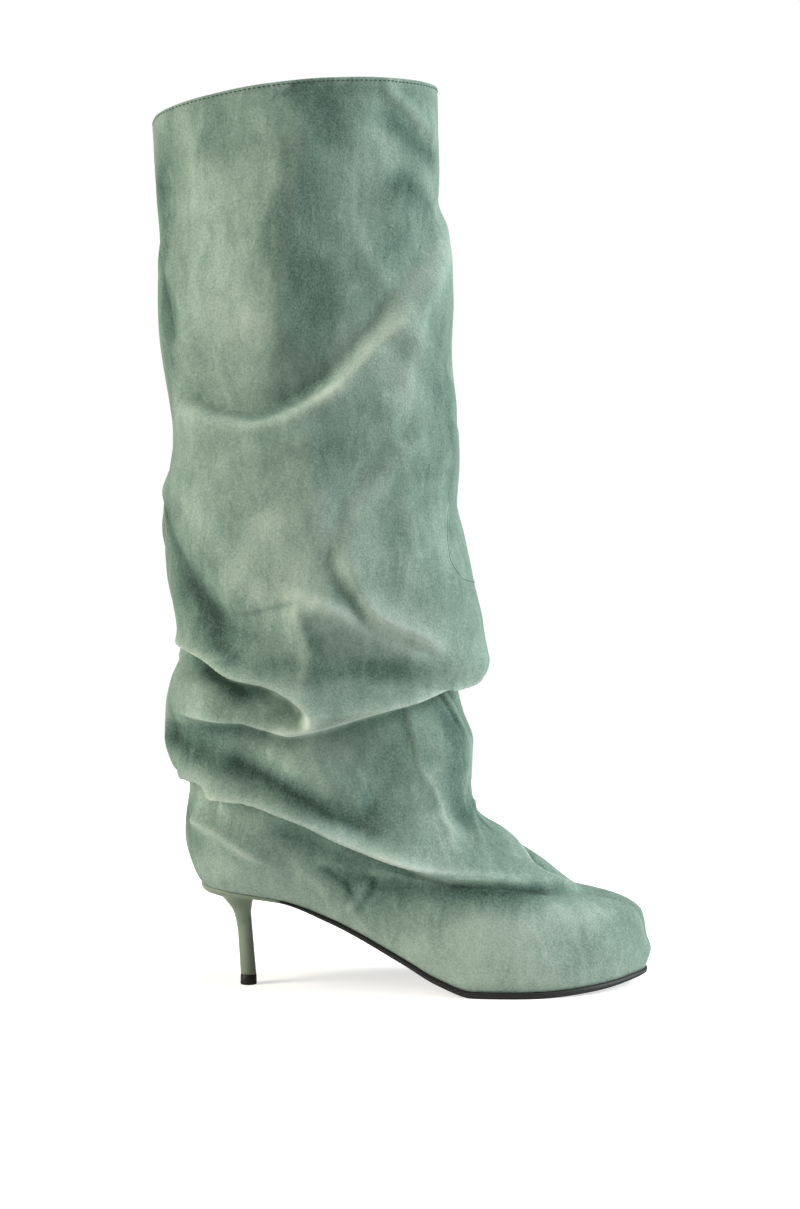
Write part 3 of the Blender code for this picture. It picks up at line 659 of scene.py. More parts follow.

# %% Strokes of the ankle and the foot: nap and painted light
FOOT_STROKES = {
    "pocket": Stroke(-0.34, 2, 6, [(22, 175), (36, 169), (47, 164), (56, 159), (64, 154), (72, 149)]),
    "hem bloom": Stroke(
        0.2, 4, 2.5, [(64, 138), (78, 134), (88, 133), (102, 139), (116, 144), (139, 151), (164, 157)]
    ),
    "hem back": Stroke(-0.14, 5, 3, [(44, 146), (56, 143), (66, 140), (76, 136)]),
    "pocket end": Stroke(0.36, 5, 4, [(70, 156), (77, 152), (83, 147), (88, 141), (91, 134)]),
    "under hem": Stroke(-0.2, 3, 9, [(-4, 136), (16, 135), (38, 135), (54, 134), (72, 129)]),
    "ankle shade": Stroke(
        -0.33, 9, 7,
        [(-50, 134), (-14, 130), (14, 126), (33, 122), (48, 118), (61, 114), (74, 107), (86, 98), (96, 91),
         (106, 84)],
    ),
    "ankle bloom": Stroke(0.1, 6, 6, [(74, 126), (80, 119), (85, 112), (90, 104), (95, 97)]),
    "ankle middle": Stroke(-0.14, 12, 12, [(92, 110), (100, 102), (108, 92), (116, 80)]),
    "ankle high": Stroke(0.12, 8, 8, [(80, 132), (90, 130), (99, 128), (107, 123)]),
    "ankle front": Stroke(-0.3, 9, 9, [(156, 156), (154, 140), (153, 122), (154, 104), (153, 86), (150, 62)]),
    "fan pale": Stroke(0.1, 1.5, 1.2, [(131, 156), (130, 146), (129, 138), (128, 130), (129, 110)]),
    "fan dark": Stroke(-0.08, 1, 4, [(130, 156), (129, 146), (128, 138), (127, 130), (128, 110)]),
    "bend pale": Stroke(
        0.12, 1.5, 1.5, [(128, 122), (133, 113), (138, 104), (139, 95), (134, 85), (120, 70)]
    ),
    "bend dark": Stroke(-0.08, 1, 4, [(127, 121), (131, 112), (136, 103), (137, 95), (132, 86), (118, 72)]),
    "pleat one": Stroke(-0.22, 1.2, 1.2, [(146, 166), (152, 156), (158, 146), (163, 130)]),
    "pleat two": Stroke(-0.22, 1.2, 1.2, [(155, 166), (162, 154), (169, 143), (174, 126)]),
    "pleat low": Stroke(-0.18, 1.2, 2, [(170, 108), (168, 98), (164, 88), (158, 78)]),
    "bend bloom": Stroke(0.12, 6, 6, [(136, 98), (133, 88), (128, 79), (120, 71)]),
    "ankle upper": Stroke(-0.12, 7, 7, [(115, 130), (118, 122), (120, 113), (121, 102)]),
    "heel back": Stroke(-0.17, 8, 8, [(4, 98), (12, 88), (20, 78), (30, 66)]),
    "vamp bloom": Stroke(0.05, 9, 9, [(140, 114), (158, 90), (162, 76), (174, 58)]),
    "counter bloom": Stroke(0.16, 8, 8, [(16, 102), (34, 99), (50, 95), (64, 90), (76, 84)]),
    "counter crest": Stroke(0.15, 2, 3, [(18, 89), (24, 87), (35, 83), (42, 78), (48, 72), (56, 62)]),
    # Painted shade under the skirt's fold
    "skirt painted shade": Stroke(-0.21, 4, 7, [(56, 89), (64, 85), (72, 79), (79, 70), (87, 60)]),
    "breast dark": Stroke(-0.16, 1.5, 3, [(83, 59), (80, 55), (77, 50), (75, 45), (74, 40)]),
    "breast pale": Stroke(0.14, 2, 2, [(80, 60), (77, 55), (75, 50), (72, 45), (70, 41)]),
    "breast deep": Stroke(-0.2, 2, 2.5, [(68, 67), (70, 61), (72, 56), (73, 50), (74, 45)]),
    "breast bloom": Stroke(0.14, 3, 3, [(58, 66), (61, 61), (64, 55), (66, 49)]),
    "instep pale": Stroke(0.2, 1.2, 1.2, [(184, 86), (175, 77), (165, 70), (157, 64), (158, 59), (166, 54)]),
    "instep dark": Stroke(-0.16, 3, 1.2, [(186, 84), (178, 77), (169, 70), (161, 64), (162, 59), (170, 54)]),
    "skirt bloom": Stroke(
        0.16, 6, 2, [(66, 93), (75, 88), (84, 82), (93, 75), (102, 68), (113, 64), (128, 62)]
    ),
    "skirt lip": Stroke(
        0.12, 1.5, 1, [(90, 76), (98, 70), (106, 65), (114, 63), (126, 61), (140, 59), (156, 56)]
    ),
    "under skirt": Stroke(
        -0.22, 3, 9, [(60, 68), (75, 60), (89, 56), (104, 55), (120, 54), (136, 53), (154, 51)]
    ),
    "tongue shade": Stroke(-0.21, 2, 8, [(102, 58), (112, 57), (126, 55), (140, 53), (158, 50)]),
    "toe top": Stroke(0.16, 6, 9, [(92, 34), (105, 37), (120, 39), (136, 40), (156, 40)]),
    "toe foot": Stroke(0.14, 6, 6, [(90, 10), (104, 9), (122, 9), (146, 10), (166, 12)]),
    "side bloom": Stroke(0.15, 12, 12, [(12, 77), (24, 72), (44, 60), (60, 45), (76, 28), (92, 12)]),
    "toe bloom": Stroke(0.16, 14, 14, [(76, 14), (88, 19), (100, 21), (114, 21), (136, 22)]),
}
print(len(FOOT_STROKES), "strokes on the ankle and the foot")

# %% The nap and the painted light that the strokes leave
STROKE_KEPT = 2.5
STROKE_FADE = 0.25


def stroke_nap_and_painted_light():
    """Sum over the strokes of amount times exp(-(d / reach) squared), fading out at their ends."""
    total = np.zeros(degree.size)
    for stroke in [*LEG_STROKES.values(), *FOOT_STROKES.values()]:
        margin = STROKE_KEPT * max(stroke.left, stroke.right)
        close, distance, fade = beside_line(stroke.line, margin, STROKE_FADE)
        reach = np.where(distance > 0, stroke.left, stroke.right)
        total[close] += stroke.amount * fade * np.exp(-((distance / reach) ** 2))
    return total.reshape(degree.shape)


nap_and_painted_light = stroke_nap_and_painted_light()
print("strokes change the nap by", nap_and_painted_light.min().round(2), "to", nap_and_painted_light.max().round(2))

# %% [markdown]
# Suede is leather buffed to a nap. Its fibres lie in brushed patches, so it has no gloss but a soft
# bloom at grazing angles, cloudy light and dark areas a few centimetres wide, wisps and short streaks, and
# a felt of fibres about a millimetre long. Crests are painted paler, partly as rubbed nap and partly as a
# painted highlight, and hollows are painted deeper as painted shade. Three attributes of the mesh bring in
# what belongs to a place: the broad relief, which paints that shade and highlight; the thin line on a
# fold's edge, a painted highlight along laps and ridges and painted shade along valleys; and the strokes,
# which are nap and, mostly, painted light.

# %% Suede
NapLayer = namedtuple("NapLayer", "size_mm weight stretched detail roughness distortion")
NAP_LAYERS = {
    # Areas brushed one way, a few centimetres wide
    "cloud": NapLayer(46.0, 0.4, False, 4.0, 0.55, 0.5),
    # Wisps and streaks that a brush leaves, longer up and down the leg
    "wisp": NapLayer(20.0, 0.3, True, 5.0, 0.62, 2.2),
    "streak": NapLayer(8.0, 0.32, True, 4.0, 0.6, 1.0),
    # The felt, drawn coarser than its single fibres so that it shows
    "fibre": NapLayer(1.1, 0.62, False, 3.0, 0.7, 0.0),
}
STRETCH = 0.4
STREAK_BUMP = 0.8
BUMP_DEPTH_MM = 0.8
# The relief weight paints hollows deeper as shade and crests paler, partly as rubbed nap and partly as a
# highlight; the edge weight is that of the painted edge line
RELIEF_WEIGHT = 0.5
EDGE_WEIGHT = 0.3
NAP_MIDDLE = 0.48
# Painted shade moves the colour towards the deep end of this ramp, painted highlights towards the pale end
NAP_COLOURS = {0.0: "#33463d", 0.25: "#5c7469", 0.5: "#82988b", 0.8: "#aabbae", 1.0: "#bfccc0"}


def suede_material():
    """Sage suede: one nap value adds noise, relief, edge lines and strokes, the last three with painted shade
    and highlights, and picks a colour from deep to pale.
    """
    material, shader = new_material("sage suede")
    place = add_node(material, "ShaderNodeTexCoord", {}).outputs["Object"]
    up_the_leg = add_node(
        material, "ShaderNodeMapping", {"Vector": place, "Scale": (1.0, 1.0, STRETCH)}
    ).outputs["Vector"]
    noise = {}
    for name, layer in NAP_LAYERS.items():
        inputs = {
            "Vector": up_the_leg if layer.stretched else place,
            "Scale": 1 / (layer.size_mm * MM),
            "Detail": layer.detail,
            "Roughness": layer.roughness,
            "Distortion": layer.distortion,
        }
        noise[name] = add_node(material, "ShaderNodeTexNoise", inputs).outputs["Fac"]
    ridge, edge, strokes = (
        add_node(material, "ShaderNodeAttribute", {}, attribute_name=name).outputs["Fac"]
        for name in ("ridge", "painted_edge_light_and_shade", "nap_and_painted_light")
    )
    layers = [(noise[name], layer.weight) for name, layer in NAP_LAYERS.items()]
    layers.append((ridge, RELIEF_WEIGHT))
    nap = NAP_MIDDLE - sum(weight for _, weight in layers) / 2
    for source, weight in [*layers, (edge, EDGE_WEIGHT), (strokes, 1.0)]:
        nap = add_node(
            material, "ShaderNodeMath", {0: source, 1: weight, 2: nap}, operation="MULTIPLY_ADD"
        ).outputs[0]
    colour = add_node(material, "ShaderNodeValToRGB", {"Fac": nap})
    ramp = colour.color_ramp
    ramp.elements[0].color = linear(NAP_COLOURS[0.0])
    ramp.elements[1].color = linear(NAP_COLOURS[1.0])
    for position in sorted(NAP_COLOURS)[1:-1]:
        ramp.elements.new(position).color = linear(NAP_COLOURS[position])
    height = add_node(
        material, "ShaderNodeMath",
        {0: noise["streak"], 1: STREAK_BUMP, 2: noise["fibre"]}, operation="MULTIPLY_ADD",
    )
    bump = add_node(
        material, "ShaderNodeBump",
        {"Height": height.outputs[0], "Strength": 0.5, "Distance": BUMP_DEPTH_MM * MM},
    )
    material.node_tree.links.new(colour.outputs["Color"], shader.inputs["Base Color"])
    material.node_tree.links.new(bump.outputs["Normal"], shader.inputs["Normal"])
    shader.inputs["Roughness"].default_value = 0.95
    shader.inputs["Specular IOR Level"].default_value = 0.15
    shader.inputs["Sheen Weight"].default_value = 0.12
    shader.inputs["Sheen Roughness"].default_value = 0.4
    shader.inputs["Sheen Tint"].default_value = linear("#d8e4d6")
    return material


suede = suede_material()
print(suede.name, "has", len(suede.node_tree.nodes), "nodes")

# %% [markdown]
# At the collar the suede turns over a thin edge and runs a little way down inside, as a turned and
# stitched hem does. So the grid goes on past its top row: a half circle over the rim, then the outer
# rows again in reverse, set in by the wall. At the sole the edge is turned in under the last.

# %% Collar and sole edge
RIM_RADIUS = 0.9
RIM_STEPS = 7
TURNED_ROWS = 9
LASTED_MARGIN = 1.6

arc = np.linspace(0, math.pi, RIM_STEPS + 1)[1:, None, None]
up = skin[-1] - skin[-2]
up = up / np.linalg.norm(up, axis=-1, keepdims=True)
rim = skin[-1] + RIM_RADIUS * (skin_normals[-1] * (np.cos(arc) - 1) + up * np.sin(arc))
inside = (skin - 2 * RIM_RADIUS * skin_normals)[-2:-2 - TURNED_ROWS:-1]
flat_normal = skin_normals[0] * np.array([1.0, 1.0, 0.0])
turned = skin[:1] - LASTED_MARGIN * flat_normal[None] / np.linalg.norm(flat_normal, axis=-1)[..., None]
sheet = np.concatenate([turned, skin, rim, inside])
print("suede grid:", sheet.shape, "rim adds", RIM_RADIUS, "mm")

# %% [markdown]
# The ridge attribute says how far a point stands out from the suede round it. It is the relief less its
# own blurred copy, so a crest of any size comes out above one half and a hollow below. In the suede's
# colour it makes hollows deeper as painted shade, and crests paler, partly as rubbed nap and partly as a
# painted highlight.

# %% Attributes and the suede piece
BLUR_ROUNDS = 80
RIDGE_SCALE = 14.0


def blurred(field, rounds):
    """Repeated mean of each point and its four neighbours, closed round the leg."""
    for _ in range(rounds):
        tall = np.pad(field, ((1, 1), (0, 0)), mode="edge")
        field = (field + tall[:-2] + tall[2:] + np.roll(field, 1, 1) + np.roll(field, -1, 1)) / 5
    return field


def on_sheet(field):
    """A value of the outer rows carried on over the turned edges."""
    return np.concatenate([field[:1], field, np.repeat(field[-1:], RIM_STEPS + TURNED_ROWS, axis=0)])


def set_values(piece, name, values):
    """Puts one number for each point of a piece into an attribute that its material reads."""
    piece.data.attributes.new(name, "FLOAT", "POINT").data.foreach_set("value", np.ravel(values))


ridge = np.clip(0.5 + (relief - blurred(relief, BLUR_ROUNDS)) / RIDGE_SCALE, 0, 1)
upper = add_piece("upper_suede", sheet, grid_quads(*sheet.shape[:2], wrap=True).tolist(), suede)
for name, field in (("ridge", ridge), ("painted_edge_light_and_shade", painted_edge_light_and_shade), ("nap_and_painted_light", nap_and_painted_light)):
    set_values(upper, name, on_sheet(field))
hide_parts("upper")

# %% [markdown]
# Inside, a kid leather lining backs the suede. It bridges the deepest creases, so it takes the lowest
# relief of the suede round each point, smoothed, and lies further in by the wall. Its faces look inward,
# and its upper edge is tucked under the turned collar.

# %% Shape of the lining
LINING_DEPTH = 2.2
TUCKED_DEPTH = 1.2
LOWEST_ROUNDS = 8
LINING_BLUR = 10
LINING_STEP = 2
LINING_TOP_ROWS = 6
TUCK_ROWS = (22, 11)


def lowest_near(field, rounds):
    """Repeated minimum of each point and its four neighbours, closed round the leg."""
    for _ in range(rounds):
        tall = np.pad(field, ((1, 1), (0, 0)), mode="edge")
        beside = [field, tall[:-2], tall[2:], np.roll(field, 1, 1), np.roll(field, -1, 1)]
        field = np.minimum.reduce(beside)
    return field


row_number = np.arange(SKIN_ROWS)[:, None]
tucked = smoothstep(row_number, SKIN_ROWS - TUCK_ROWS[0], SKIN_ROWS - TUCK_ROWS[1])
bridged = blurred(lowest_near(relief, LOWEST_ROUNDS), LINING_BLUR) - LINING_DEPTH
lining_relief = bridged * (1 - tucked) + (relief - TUCKED_DEPTH) * tucked
lining_skin = plain + plain_normals * lining_relief[..., None]
lining_points = lining_skin[:1 - LINING_TOP_ROWS:LINING_STEP, ::LINING_STEP]
print("lining grid:", lining_points.shape, "lies", LINING_DEPTH, "mm in")

# %% [markdown]
# The small pieces have plain finishes, and one function makes them all from a row of a table: two near
# colours for the cloudiness that no real surface lacks, the size of its grain, how deep the grain is,
# and how rough and how coated the surface is.

# %% Plain finishes
Finish = namedtuple("Finish", "deep pale grain_mm depth_mm roughness coat")
FINISHES = {
    # Kid leather, tanned pale and rolled smooth: fine pores and a soft, low gloss
    "kid lining leather": Finish("#a3937b", "#b5a68e", 0.9, 0.10, 0.60, 0.0),
    # Sock leather over the insole, a little more worn and darker than the lining
    "sock leather": Finish("#96866e", "#ab9b83", 0.8, 0.10, 0.55, 0.0),
    # Satin lacquer sprayed on a moulded heel: an even coat with a faint orange peel
    "sage heel lacquer": Finish("#768470", "#7e8c78", 1.6, 0.02, 0.42, 0.15),
    # Moulded sole rubber, matt black, with a fine sandy grain from its mould
    "black sole rubber": Finish("#101010", "#1a1a1a", 0.7, 0.06, 0.58, 0.0),
    # Hard polyurethane of the top lift: denser and a little glossier than the sole
    "black lift rubber": Finish("#0d0d0e", "#161617", 0.6, 0.03, 0.45, 0.0),
    # Twisted polyester thread, dyed darker than the suede
    "dark green thread": Finish("#33473c", "#465c4f", 0.4, 0.08, 0.70, 0.0),
}
MOTTLE_MM = 14.0


def plain_finish(name):
    """A cloudy mix of two near colours, with a grain of the given size in the bump."""
    finish = FINISHES[name]
    material, shader = new_material(name)
    place = add_node(material, "ShaderNodeTexCoord", {}).outputs["Object"]
    mottle = add_node(
        material, "ShaderNodeTexNoise", {"Vector": place, "Scale": 1 / (MOTTLE_MM * MM), "Detail": 3.0}
    )
    colour = add_node(material, "ShaderNodeValToRGB", {"Fac": mottle.outputs["Fac"]})
    colour.color_ramp.elements[0].color = linear(finish.deep)
    colour.color_ramp.elements[1].color = linear(finish.pale)
    grain = add_node(
        material, "ShaderNodeTexNoise", {"Vector": place, "Scale": 1 / (finish.grain_mm * MM), "Detail": 2.0}
    )
    bump = add_node(
        material, "ShaderNodeBump", {"Height": grain.outputs["Fac"], "Distance": finish.depth_mm * MM}
    )
    material.node_tree.links.new(colour.outputs["Color"], shader.inputs["Base Color"])
    material.node_tree.links.new(bump.outputs["Normal"], shader.inputs["Normal"])
    shader.inputs["Roughness"].default_value = finish.roughness
    shader.inputs["Coat Weight"].default_value = finish.coat
    return material


print(len(FINISHES), "plain finishes")

# %% Lining and sock
inward = grid_quads(*lining_points.shape[:2], wrap=True)[:, ::-1]
add_piece("lining", lining_points, inward.tolist(), plain_finish("kid lining leather"))
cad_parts["insole"].data.materials.clear()
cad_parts["insole"].data.materials.append(plain_finish("sock leather"))
print("the insole keeps its solid and gets its leather")

# %% [markdown]
# Seams and stitches follow the finished suede, so they read its grid between the points. A seam is a
# narrow strip with two soft lips and a groove between them, carried along a line. Each stitch is one
# small lens of thread, and all of them are made in one array.

# %% Reading the suede between its points
def suede_at(turn, level):
    """Place and normal of the suede at degrees and levels, in proportion between four grid points."""
    across = np.mod(turn, 360) / 360 * SKIN_COLUMNS
    climb = np.interp(level, skin_levels, np.arange(SKIN_ROWS))
    left = np.floor(across).astype(int)
    low = np.minimum(np.floor(climb).astype(int), SKIN_ROWS - 2)
    right = (left + 1) % SKIN_COLUMNS
    left = left % SKIN_COLUMNS
    share_right = (across - np.floor(across))[:, None]
    share_high = (climb - low)[:, None]
    readings = []
    for grid in (skin, skin_normals):
        below = grid[low, left] * (1 - share_right) + grid[low, right] * share_right
        above = grid[low + 1, left] * (1 - share_right) + grid[low + 1, right] * share_right
        readings.append(below * (1 - share_high) + above * share_high)
    return readings


# %% Seams
SEAM_SAMPLES = 240
SEAM_ACROSS = np.array([-1.7, -1.1, -0.5, -0.2, 0.0, 0.2, 0.5, 1.1, 1.7])
SEAM_LIFT = np.array([-0.35, 0.12, 0.28, 0.05, -0.15, 0.05, 0.28, 0.12, -0.35])
SEAM_NAP = np.array([0.0, 0.06, 0.1, -0.3, -0.55, -0.3, 0.1, 0.06, 0.0])
SEAMS = {
    "back_seam": [(0, 62), (0, 90), (0, 130), (0, 180), (0, 260), (0, 350), (0, 446)],
    "front_seam": [
        (160, 249), (155, 241), (150, 228), (149, 221), (152, 214), (158, 210), (170, 209), (184, 210),
    ],
}


def seam_strip(marks):
    """The profile set across the line: place plus side times across plus normal times lift."""
    place, normal = suede_at(*line_marks(marks, SEAM_SAMPLES))
    side = np.cross(np.gradient(place, axis=0), normal)
    side = side / np.linalg.norm(side, axis=1, keepdims=True)
    return place[:, None] + side[:, None] * SEAM_ACROSS[:, None] + normal[:, None] * SEAM_LIFT[:, None]


for name, marks in SEAMS.items():
    strip = seam_strip(marks)
    seam = add_piece(name, strip, grid_quads(*strip.shape[:2], wrap=False).tolist(), suede)
    set_values(seam, "ridge", np.full(strip.shape[:2], 0.5))
    set_values(seam, "painted_edge_light_and_shade", np.zeros(strip.shape[:2]))
    set_values(seam, "nap_and_painted_light", np.broadcast_to(SEAM_NAP, strip.shape[:2]))

# %% Stitches of the collar
STITCH_PITCH = 2.5
STITCH_HALF_LENGTH = 0.85
STITCH_RADIUS = 0.38
STITCH_BELOW_RIM = 0.9
STITCH_RINGS = 7
STITCH_SIDES = 6
RING_SAMPLES = 1441

ring_turn = np.linspace(0, 360, RING_SAMPLES)
row_climb = np.linalg.norm(skin[-1] - skin[-2], axis=1).mean()
stitch_level = np.interp(SKIN_ROWS - 1 - STITCH_BELOW_RIM / row_climb, np.arange(SKIN_ROWS), skin_levels)
ring, _ = suede_at(ring_turn, np.full(RING_SAMPLES, stitch_level))
ring_length = np.concatenate([[0], np.cumsum(np.linalg.norm(np.diff(ring, axis=0), axis=1))])
stitch_count = int(ring_length[-1] / STITCH_PITCH)
stitch_turn = np.interp(np.arange(stitch_count) * ring_length[-1] / stitch_count, ring_length, ring_turn)
stitch_place, stitch_out = suede_at(stitch_turn, np.full(stitch_count, stitch_level))
stitch_run = np.roll(stitch_place, -1, axis=0) - np.roll(stitch_place, 1, axis=0)
stitch_run = stitch_run / np.linalg.norm(stitch_run, axis=1, keepdims=True)
stitch_side = np.cross(stitch_out, stitch_run)
print(stitch_count, "stitches round", ring_length[-1].round(), "mm of collar")


# %% The stitches as one mesh
def stitch_points():
    """A lens each: place plus run times half length times cos u, plus a circle of radius sin u across."""
    u = np.linspace(0, math.pi, STITCH_RINGS)[None, :, None, None]
    v = (np.arange(STITCH_SIDES) * 2 * math.pi / STITCH_SIDES)[None, None, :, None]
    place, run, out, side = (
        a[:, None, None, :] for a in (stitch_place, stitch_run, stitch_out, stitch_side)
    )
    across = STITCH_RADIUS * np.sin(u) * (out * np.cos(v) + side * np.sin(v))
    return place - run * STITCH_HALF_LENGTH * np.cos(u) + across


one_stitch = grid_quads(STITCH_RINGS, STITCH_SIDES, wrap=True)
stitch_faces = one_stitch[None] + (np.arange(stitch_count) * STITCH_RINGS * STITCH_SIDES)[:, None, None]
thread = plain_finish("dark green thread")
add_piece("collar_stitches", stitch_points(), stitch_faces.reshape(-1, 4).tolist(), thread)

# %% [markdown]
# The heel is one moulded piece under a thin seat: the seat's outline draws in fast to a slim round stem,
# which swells a little again at the floor. The same table of rings as the solid's is read smoothly, so
# the lacquered surface has no flats. The seat follows the edge of the upper's lowest section.

# %% The edge of the sole
GAP = 0.3
SOLE_MARGIN = 0.8
SEAT_FRONT_X = -62.0
OUTLINE_STEP = 0.5


def outline_point(turn, margin):
    """Plan points of the lowest section, set out along its plan normal by a margin."""
    here = plain_upper(turn, 0.0)[..., :2]
    tangent = plain_upper(turn + OUTLINE_STEP, 0.0)[..., :2] - plain_upper(turn - OUTLINE_STEP, 0.0)[..., :2]
    normal = np.stack([tangent[..., 1], -tangent[..., 0]], axis=-1)
    return here + margin * normal / np.linalg.norm(normal, axis=-1, keepdims=True)


def degree_at(x):
    """The degree of the lowest section at x: the arc cosine of 1 less twice the share of its length."""
    along = (x - SECTIONS[0].back_x) / (SECTIONS[0].front_x - SECTIONS[0].back_x)
    return math.degrees(math.acos(1 - 2 * along))


print("the front edge of the heel seat is at", round(degree_at(SEAT_FRONT_X), 1), "degrees")

# %% Heel
STEM_TOP_X = -81.6
STEM_TOP_RADIUS = 3.4
STEM_FOOT_RADIUS = 4.0
HeelRing = namedtuple("HeelRing", "share back_drop breast_drop")
HEEL_RINGS = [
    HeelRing(1.00, 0.0, 0.0),
    HeelRing(1.00, 1.6, 1.0),
    HeelRing(0.93, 3.4, 1.1),
    HeelRing(0.70, 5.0, 1.3),
    HeelRing(0.45, 6.6, 1.6),
    HeelRing(0.28, 9.7, 2.2),
    HeelRing(0.14, 13.0, 3.4),
    HeelRing(0.05, 18.5, 7.0),
    HeelRing(0.00, 24.0, 13.0),
]
SEAT_POINTS = 72
BREAST_POINTS = 28
RING_STEPS = 49
STEM_STEPS = 16


def heel_grid():
    """Seat outline shrunk towards a circle and dropped by the ring table, then straight to the floor."""
    back_half = degree_at(SEAT_FRONT_X)
    seat = outline_point(np.linspace(-back_half, back_half, SEAT_POINTS), 0.0)
    across = np.linspace(0, 1, BREAST_POINTS + 2)[1:-1, None]
    seat = np.vstack([seat, seat[-1] * (1 - across) + seat[0] * across])
    spoke = seat - np.array([STEM_TOP_X, 0.0])
    spoke = spoke / np.linalg.norm(spoke, axis=1, keepdims=True)
    stem = np.array([STEM_TOP_X, 0.0]) + STEM_TOP_RADIUS * spoke
    at = np.linspace(0, len(HEEL_RINGS) - 1, RING_STEPS)
    share, back_drop, breast_drop = (
        hermite(at, np.arange(len(HEEL_RINGS)), values)[:, None] for values in zip(*HEEL_RINGS)
    )
    plan = stem + share[..., None] * (seat - stem)
    drop = breast_drop + (back_drop - breast_drop) * (1 - spoke[:, 0]) / 2
    rings = np.concatenate([plan, (sole_top(plan[..., 0]) - drop)[..., None]], axis=-1)
    foot = np.array([STEM_FOOT_X, 0.0]) + STEM_FOOT_RADIUS * spoke
    foot = np.column_stack([foot, np.full(len(foot), LIFT_HEIGHT + GAP)])
    down = np.linspace(0, 1, STEM_STEPS + 1)[1:, None, None]
    return np.concatenate([rings, rings[-1] * (1 - down) + foot * down])[::-1]


def capped_faces(rows, columns):
    """Faces of a closed stack of rings: its cells, and one face over each end."""
    ends = [list(range(columns))[::-1], list(range((rows - 1) * columns, rows * columns))]
    return grid_quads(rows, columns, wrap=True).tolist() + ends


heel_points = heel_grid()
lacquer = plain_finish("sage heel lacquer")
heel = add_piece("heel_lacquered", heel_points, capped_faces(*heel_points.shape[:2]), lacquer)
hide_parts("heel")

# %% [markdown]
# The outsole is a thin rubber sheet cut to the last, a little proud of the upper, with its lower edge
# rounded by the mould. A station's section is a loop: down one rounded edge, across and up the other.
# The top lift is a short rubber plug, turned, with its edges broken.

# %% Outsole
SOLE_STATIONS = 150
SOLE_TIP_DEGREES = 1.0
EDGE_INSET = np.array([0.0, 0.0, 0.08, 0.3, 0.9])
EDGE_DROP = np.array([0.0, 0.55, 0.75, 0.92, 1.0])


def sole_thickness(x):
    """Thickness of the sole at x."""
    return hermite(x, [p.x for p in SOLE_LINE], [p.thickness for p in SOLE_LINE])


def outsole_points():
    """For each station and edge step: the outline set in by the inset, and the top less the drop."""
    turn = np.linspace(degree_at(SEAT_FRONT_X), 180 - SOLE_TIP_DEGREES, SOLE_STATIONS)
    sides = []
    for side_turn, steps in ((turn, slice(None)), (360 - turn, slice(None, None, -1))):
        edges = [outline_point(side_turn, SOLE_MARGIN - inset) for inset in EDGE_INSET[steps]]
        plan = np.stack(edges, axis=1)
        depth = sole_thickness(plan[..., 0]) * EDGE_DROP[steps]
        sides.append(np.concatenate([plan, (sole_top(plan[..., 0]) - depth)[..., None]], axis=-1))
    return np.concatenate(sides, axis=1)


sole_points = outsole_points()
sole_rubber = plain_finish("black sole rubber")
outsole = add_piece("outsole_rubber", sole_points, capped_faces(*sole_points.shape[:2]), sole_rubber)
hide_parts("outsole")

# %% Top lift
LIFT_SIDES = 48
LiftStep = namedtuple("LiftStep", "height flare")
LIFT_STEPS = [
    LiftStep(0.0, -0.35), LiftStep(0.12, -0.05), LiftStep(0.4, 0.06), LiftStep(2.5, 0.0),
    LiftStep(4.7, -0.05), LiftStep(4.92, -0.12), LiftStep(LIFT_HEIGHT, -0.35),
]


def lift_points():
    """A circle of the lift's radius plus the flare, at each height."""
    angle = -np.arange(LIFT_SIDES) * 2 * math.pi / LIFT_SIDES
    height, flare = (np.array(values)[:, None] for values in zip(*LIFT_STEPS))
    radius = LIFT_RADIUS + flare
    x, y = STEM_FOOT_X + radius * np.cos(angle), -radius * np.sin(angle)
    return np.stack([x, y, np.broadcast_to(height, x.shape)], axis=-1)


lift_rubber = plain_finish("black lift rubber")
lift_faces = capped_faces(len(LIFT_STEPS), LIFT_SIDES)
top_lift = add_piece("lift_rubber", lift_points(), lift_faces, lift_rubber)
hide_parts("top_lift")

# %% [markdown]
# Lights: a large warm softbox on the left, a cooler one on the right, and a weak one above. The side of
# the boot that faces the camera gets least, which shows up the folds.

# %% Lights and the white room
Softbox = namedtuple("Softbox", "place width height power colour")
SOFTBOXES = {
    "left_softbox": Softbox((-1.4, -0.5, 0.8), 0.6, 1.1, 26.0, "#fff7ea"),
    "right_softbox": Softbox((1.45, 0.0, 0.7), 0.6, 1.1, 30.0, "#f4fbff"),
    "top_softbox": Softbox((0.15, -0.3, 1.8), 0.9, 0.9, 15.0, "#ffffff"),
}
AIM_HEIGHT = 0.2
AMBIENT = 0.08

for name, box in SOFTBOXES.items():
    lamp = bpy.data.lights.new(name, "AREA")
    lamp.shape = "RECTANGLE"
    lamp.size, lamp.size_y = box.width, box.height
    lamp.energy = box.power
    lamp.color = linear(box.colour)[:3]
    light = bpy.data.objects.new(name, lamp)
    light.location = box.place
    aim = np.array([0.0, 0.0, AIM_HEIGHT]) - np.array(box.place)
    flat_reach = math.hypot(aim[0], aim[1])
    light.rotation_euler = (math.atan2(flat_reach, -aim[2]), 0, math.atan2(aim[1], aim[0]) - math.pi / 2)
    bpy.context.collection.objects.link(light)

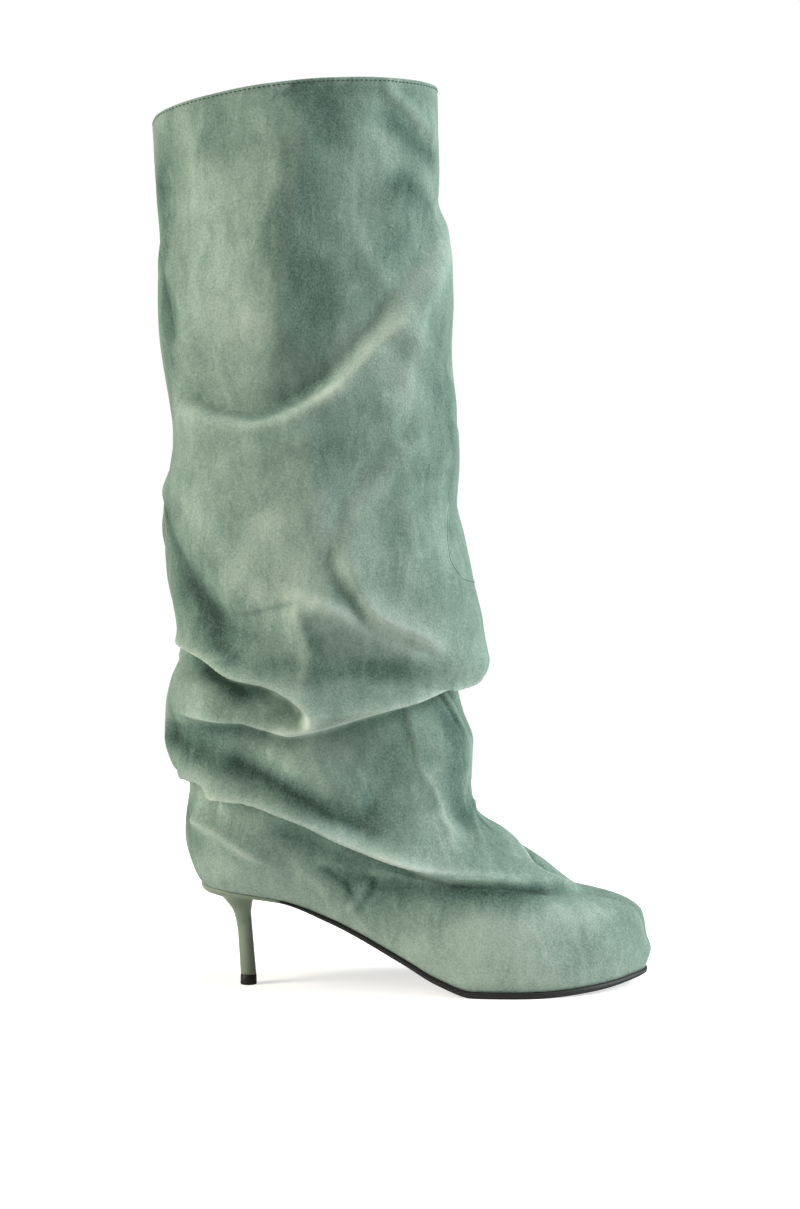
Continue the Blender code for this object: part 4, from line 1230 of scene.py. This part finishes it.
world = bpy.data.worlds.new("white room")
world.use_nodes = True
bpy.context.scene.world = world
air = world.node_tree.nodes["Background"]
air.inputs["Color"].default_value = (1.0, 1.0, 1.0, 1.0)
eye = add_node(world, "ShaderNodeLightPath", {})
seen = add_node(
    world, "ShaderNodeMath",
    {0: eye.outputs["Is Camera Ray"], 1: 1 - AMBIENT, 2: AMBIENT}, operation="MULTIPLY_ADD",
)
world.node_tree.links.new(seen.outputs[0], air.inputs["Strength"])
bpy.context.scene.view_settings.view_transform = "Standard"
print(len(SOFTBOXES), "softboxes, ambient", AMBIENT)

# %% [markdown]
# The boot stands on white paper. Round the boot the paper takes its shadow, and further out it glows, for
# the camera only, until it is as white as the room and no edge shows.

# %% Floor
FLOOR_HALF = 1.0
NEAR_GLOW = 0.62
GLOW_STARTS = 0.3
GLOW_FULL = 0.8
paper, paper_shader = new_material("white paper")
paper_shader.inputs["Base Color"].default_value = linear("#e6e6e4")
paper_shader.inputs["Roughness"].default_value = 0.9
paper_shader.inputs["Emission Color"].default_value = (1.0, 1.0, 1.0, 1.0)
spot = add_node(paper, "ShaderNodeTexCoord", {}).outputs["Object"]
reach = add_node(paper, "ShaderNodeVectorMath", {0: spot}, operation="LENGTH").outputs["Value"]
glow = add_node(
    paper, "ShaderNodeMapRange",
    {"Value": reach, "From Min": GLOW_STARTS, "From Max": GLOW_FULL, "To Min": NEAR_GLOW, "To Max": 1.0},
    interpolation_type="SMOOTHSTEP",
)
to_eye = add_node(paper, "ShaderNodeLightPath", {}).outputs["Is Camera Ray"]
shown = add_node(paper, "ShaderNodeMath", {0: glow.outputs["Result"], 1: to_eye}, operation="MULTIPLY")
paper.node_tree.links.new(shown.outputs[0], paper_shader.inputs["Emission Strength"])
floor_mesh = bpy.data.meshes.new("floor")
corners = np.array([(-1, -1, 0), (1, -1, 0), (1, 1, 0), (-1, 1, 0)]) * FLOOR_HALF
floor_mesh.from_pydata(corners.tolist(), [], [(0, 1, 2, 3)])
floor_mesh.materials.append(paper)
floor = bpy.data.objects.new("floor", floor_mesh)
bpy.context.collection.objects.link(floor)
print("floor of", 2 * FLOOR_HALF, "m")
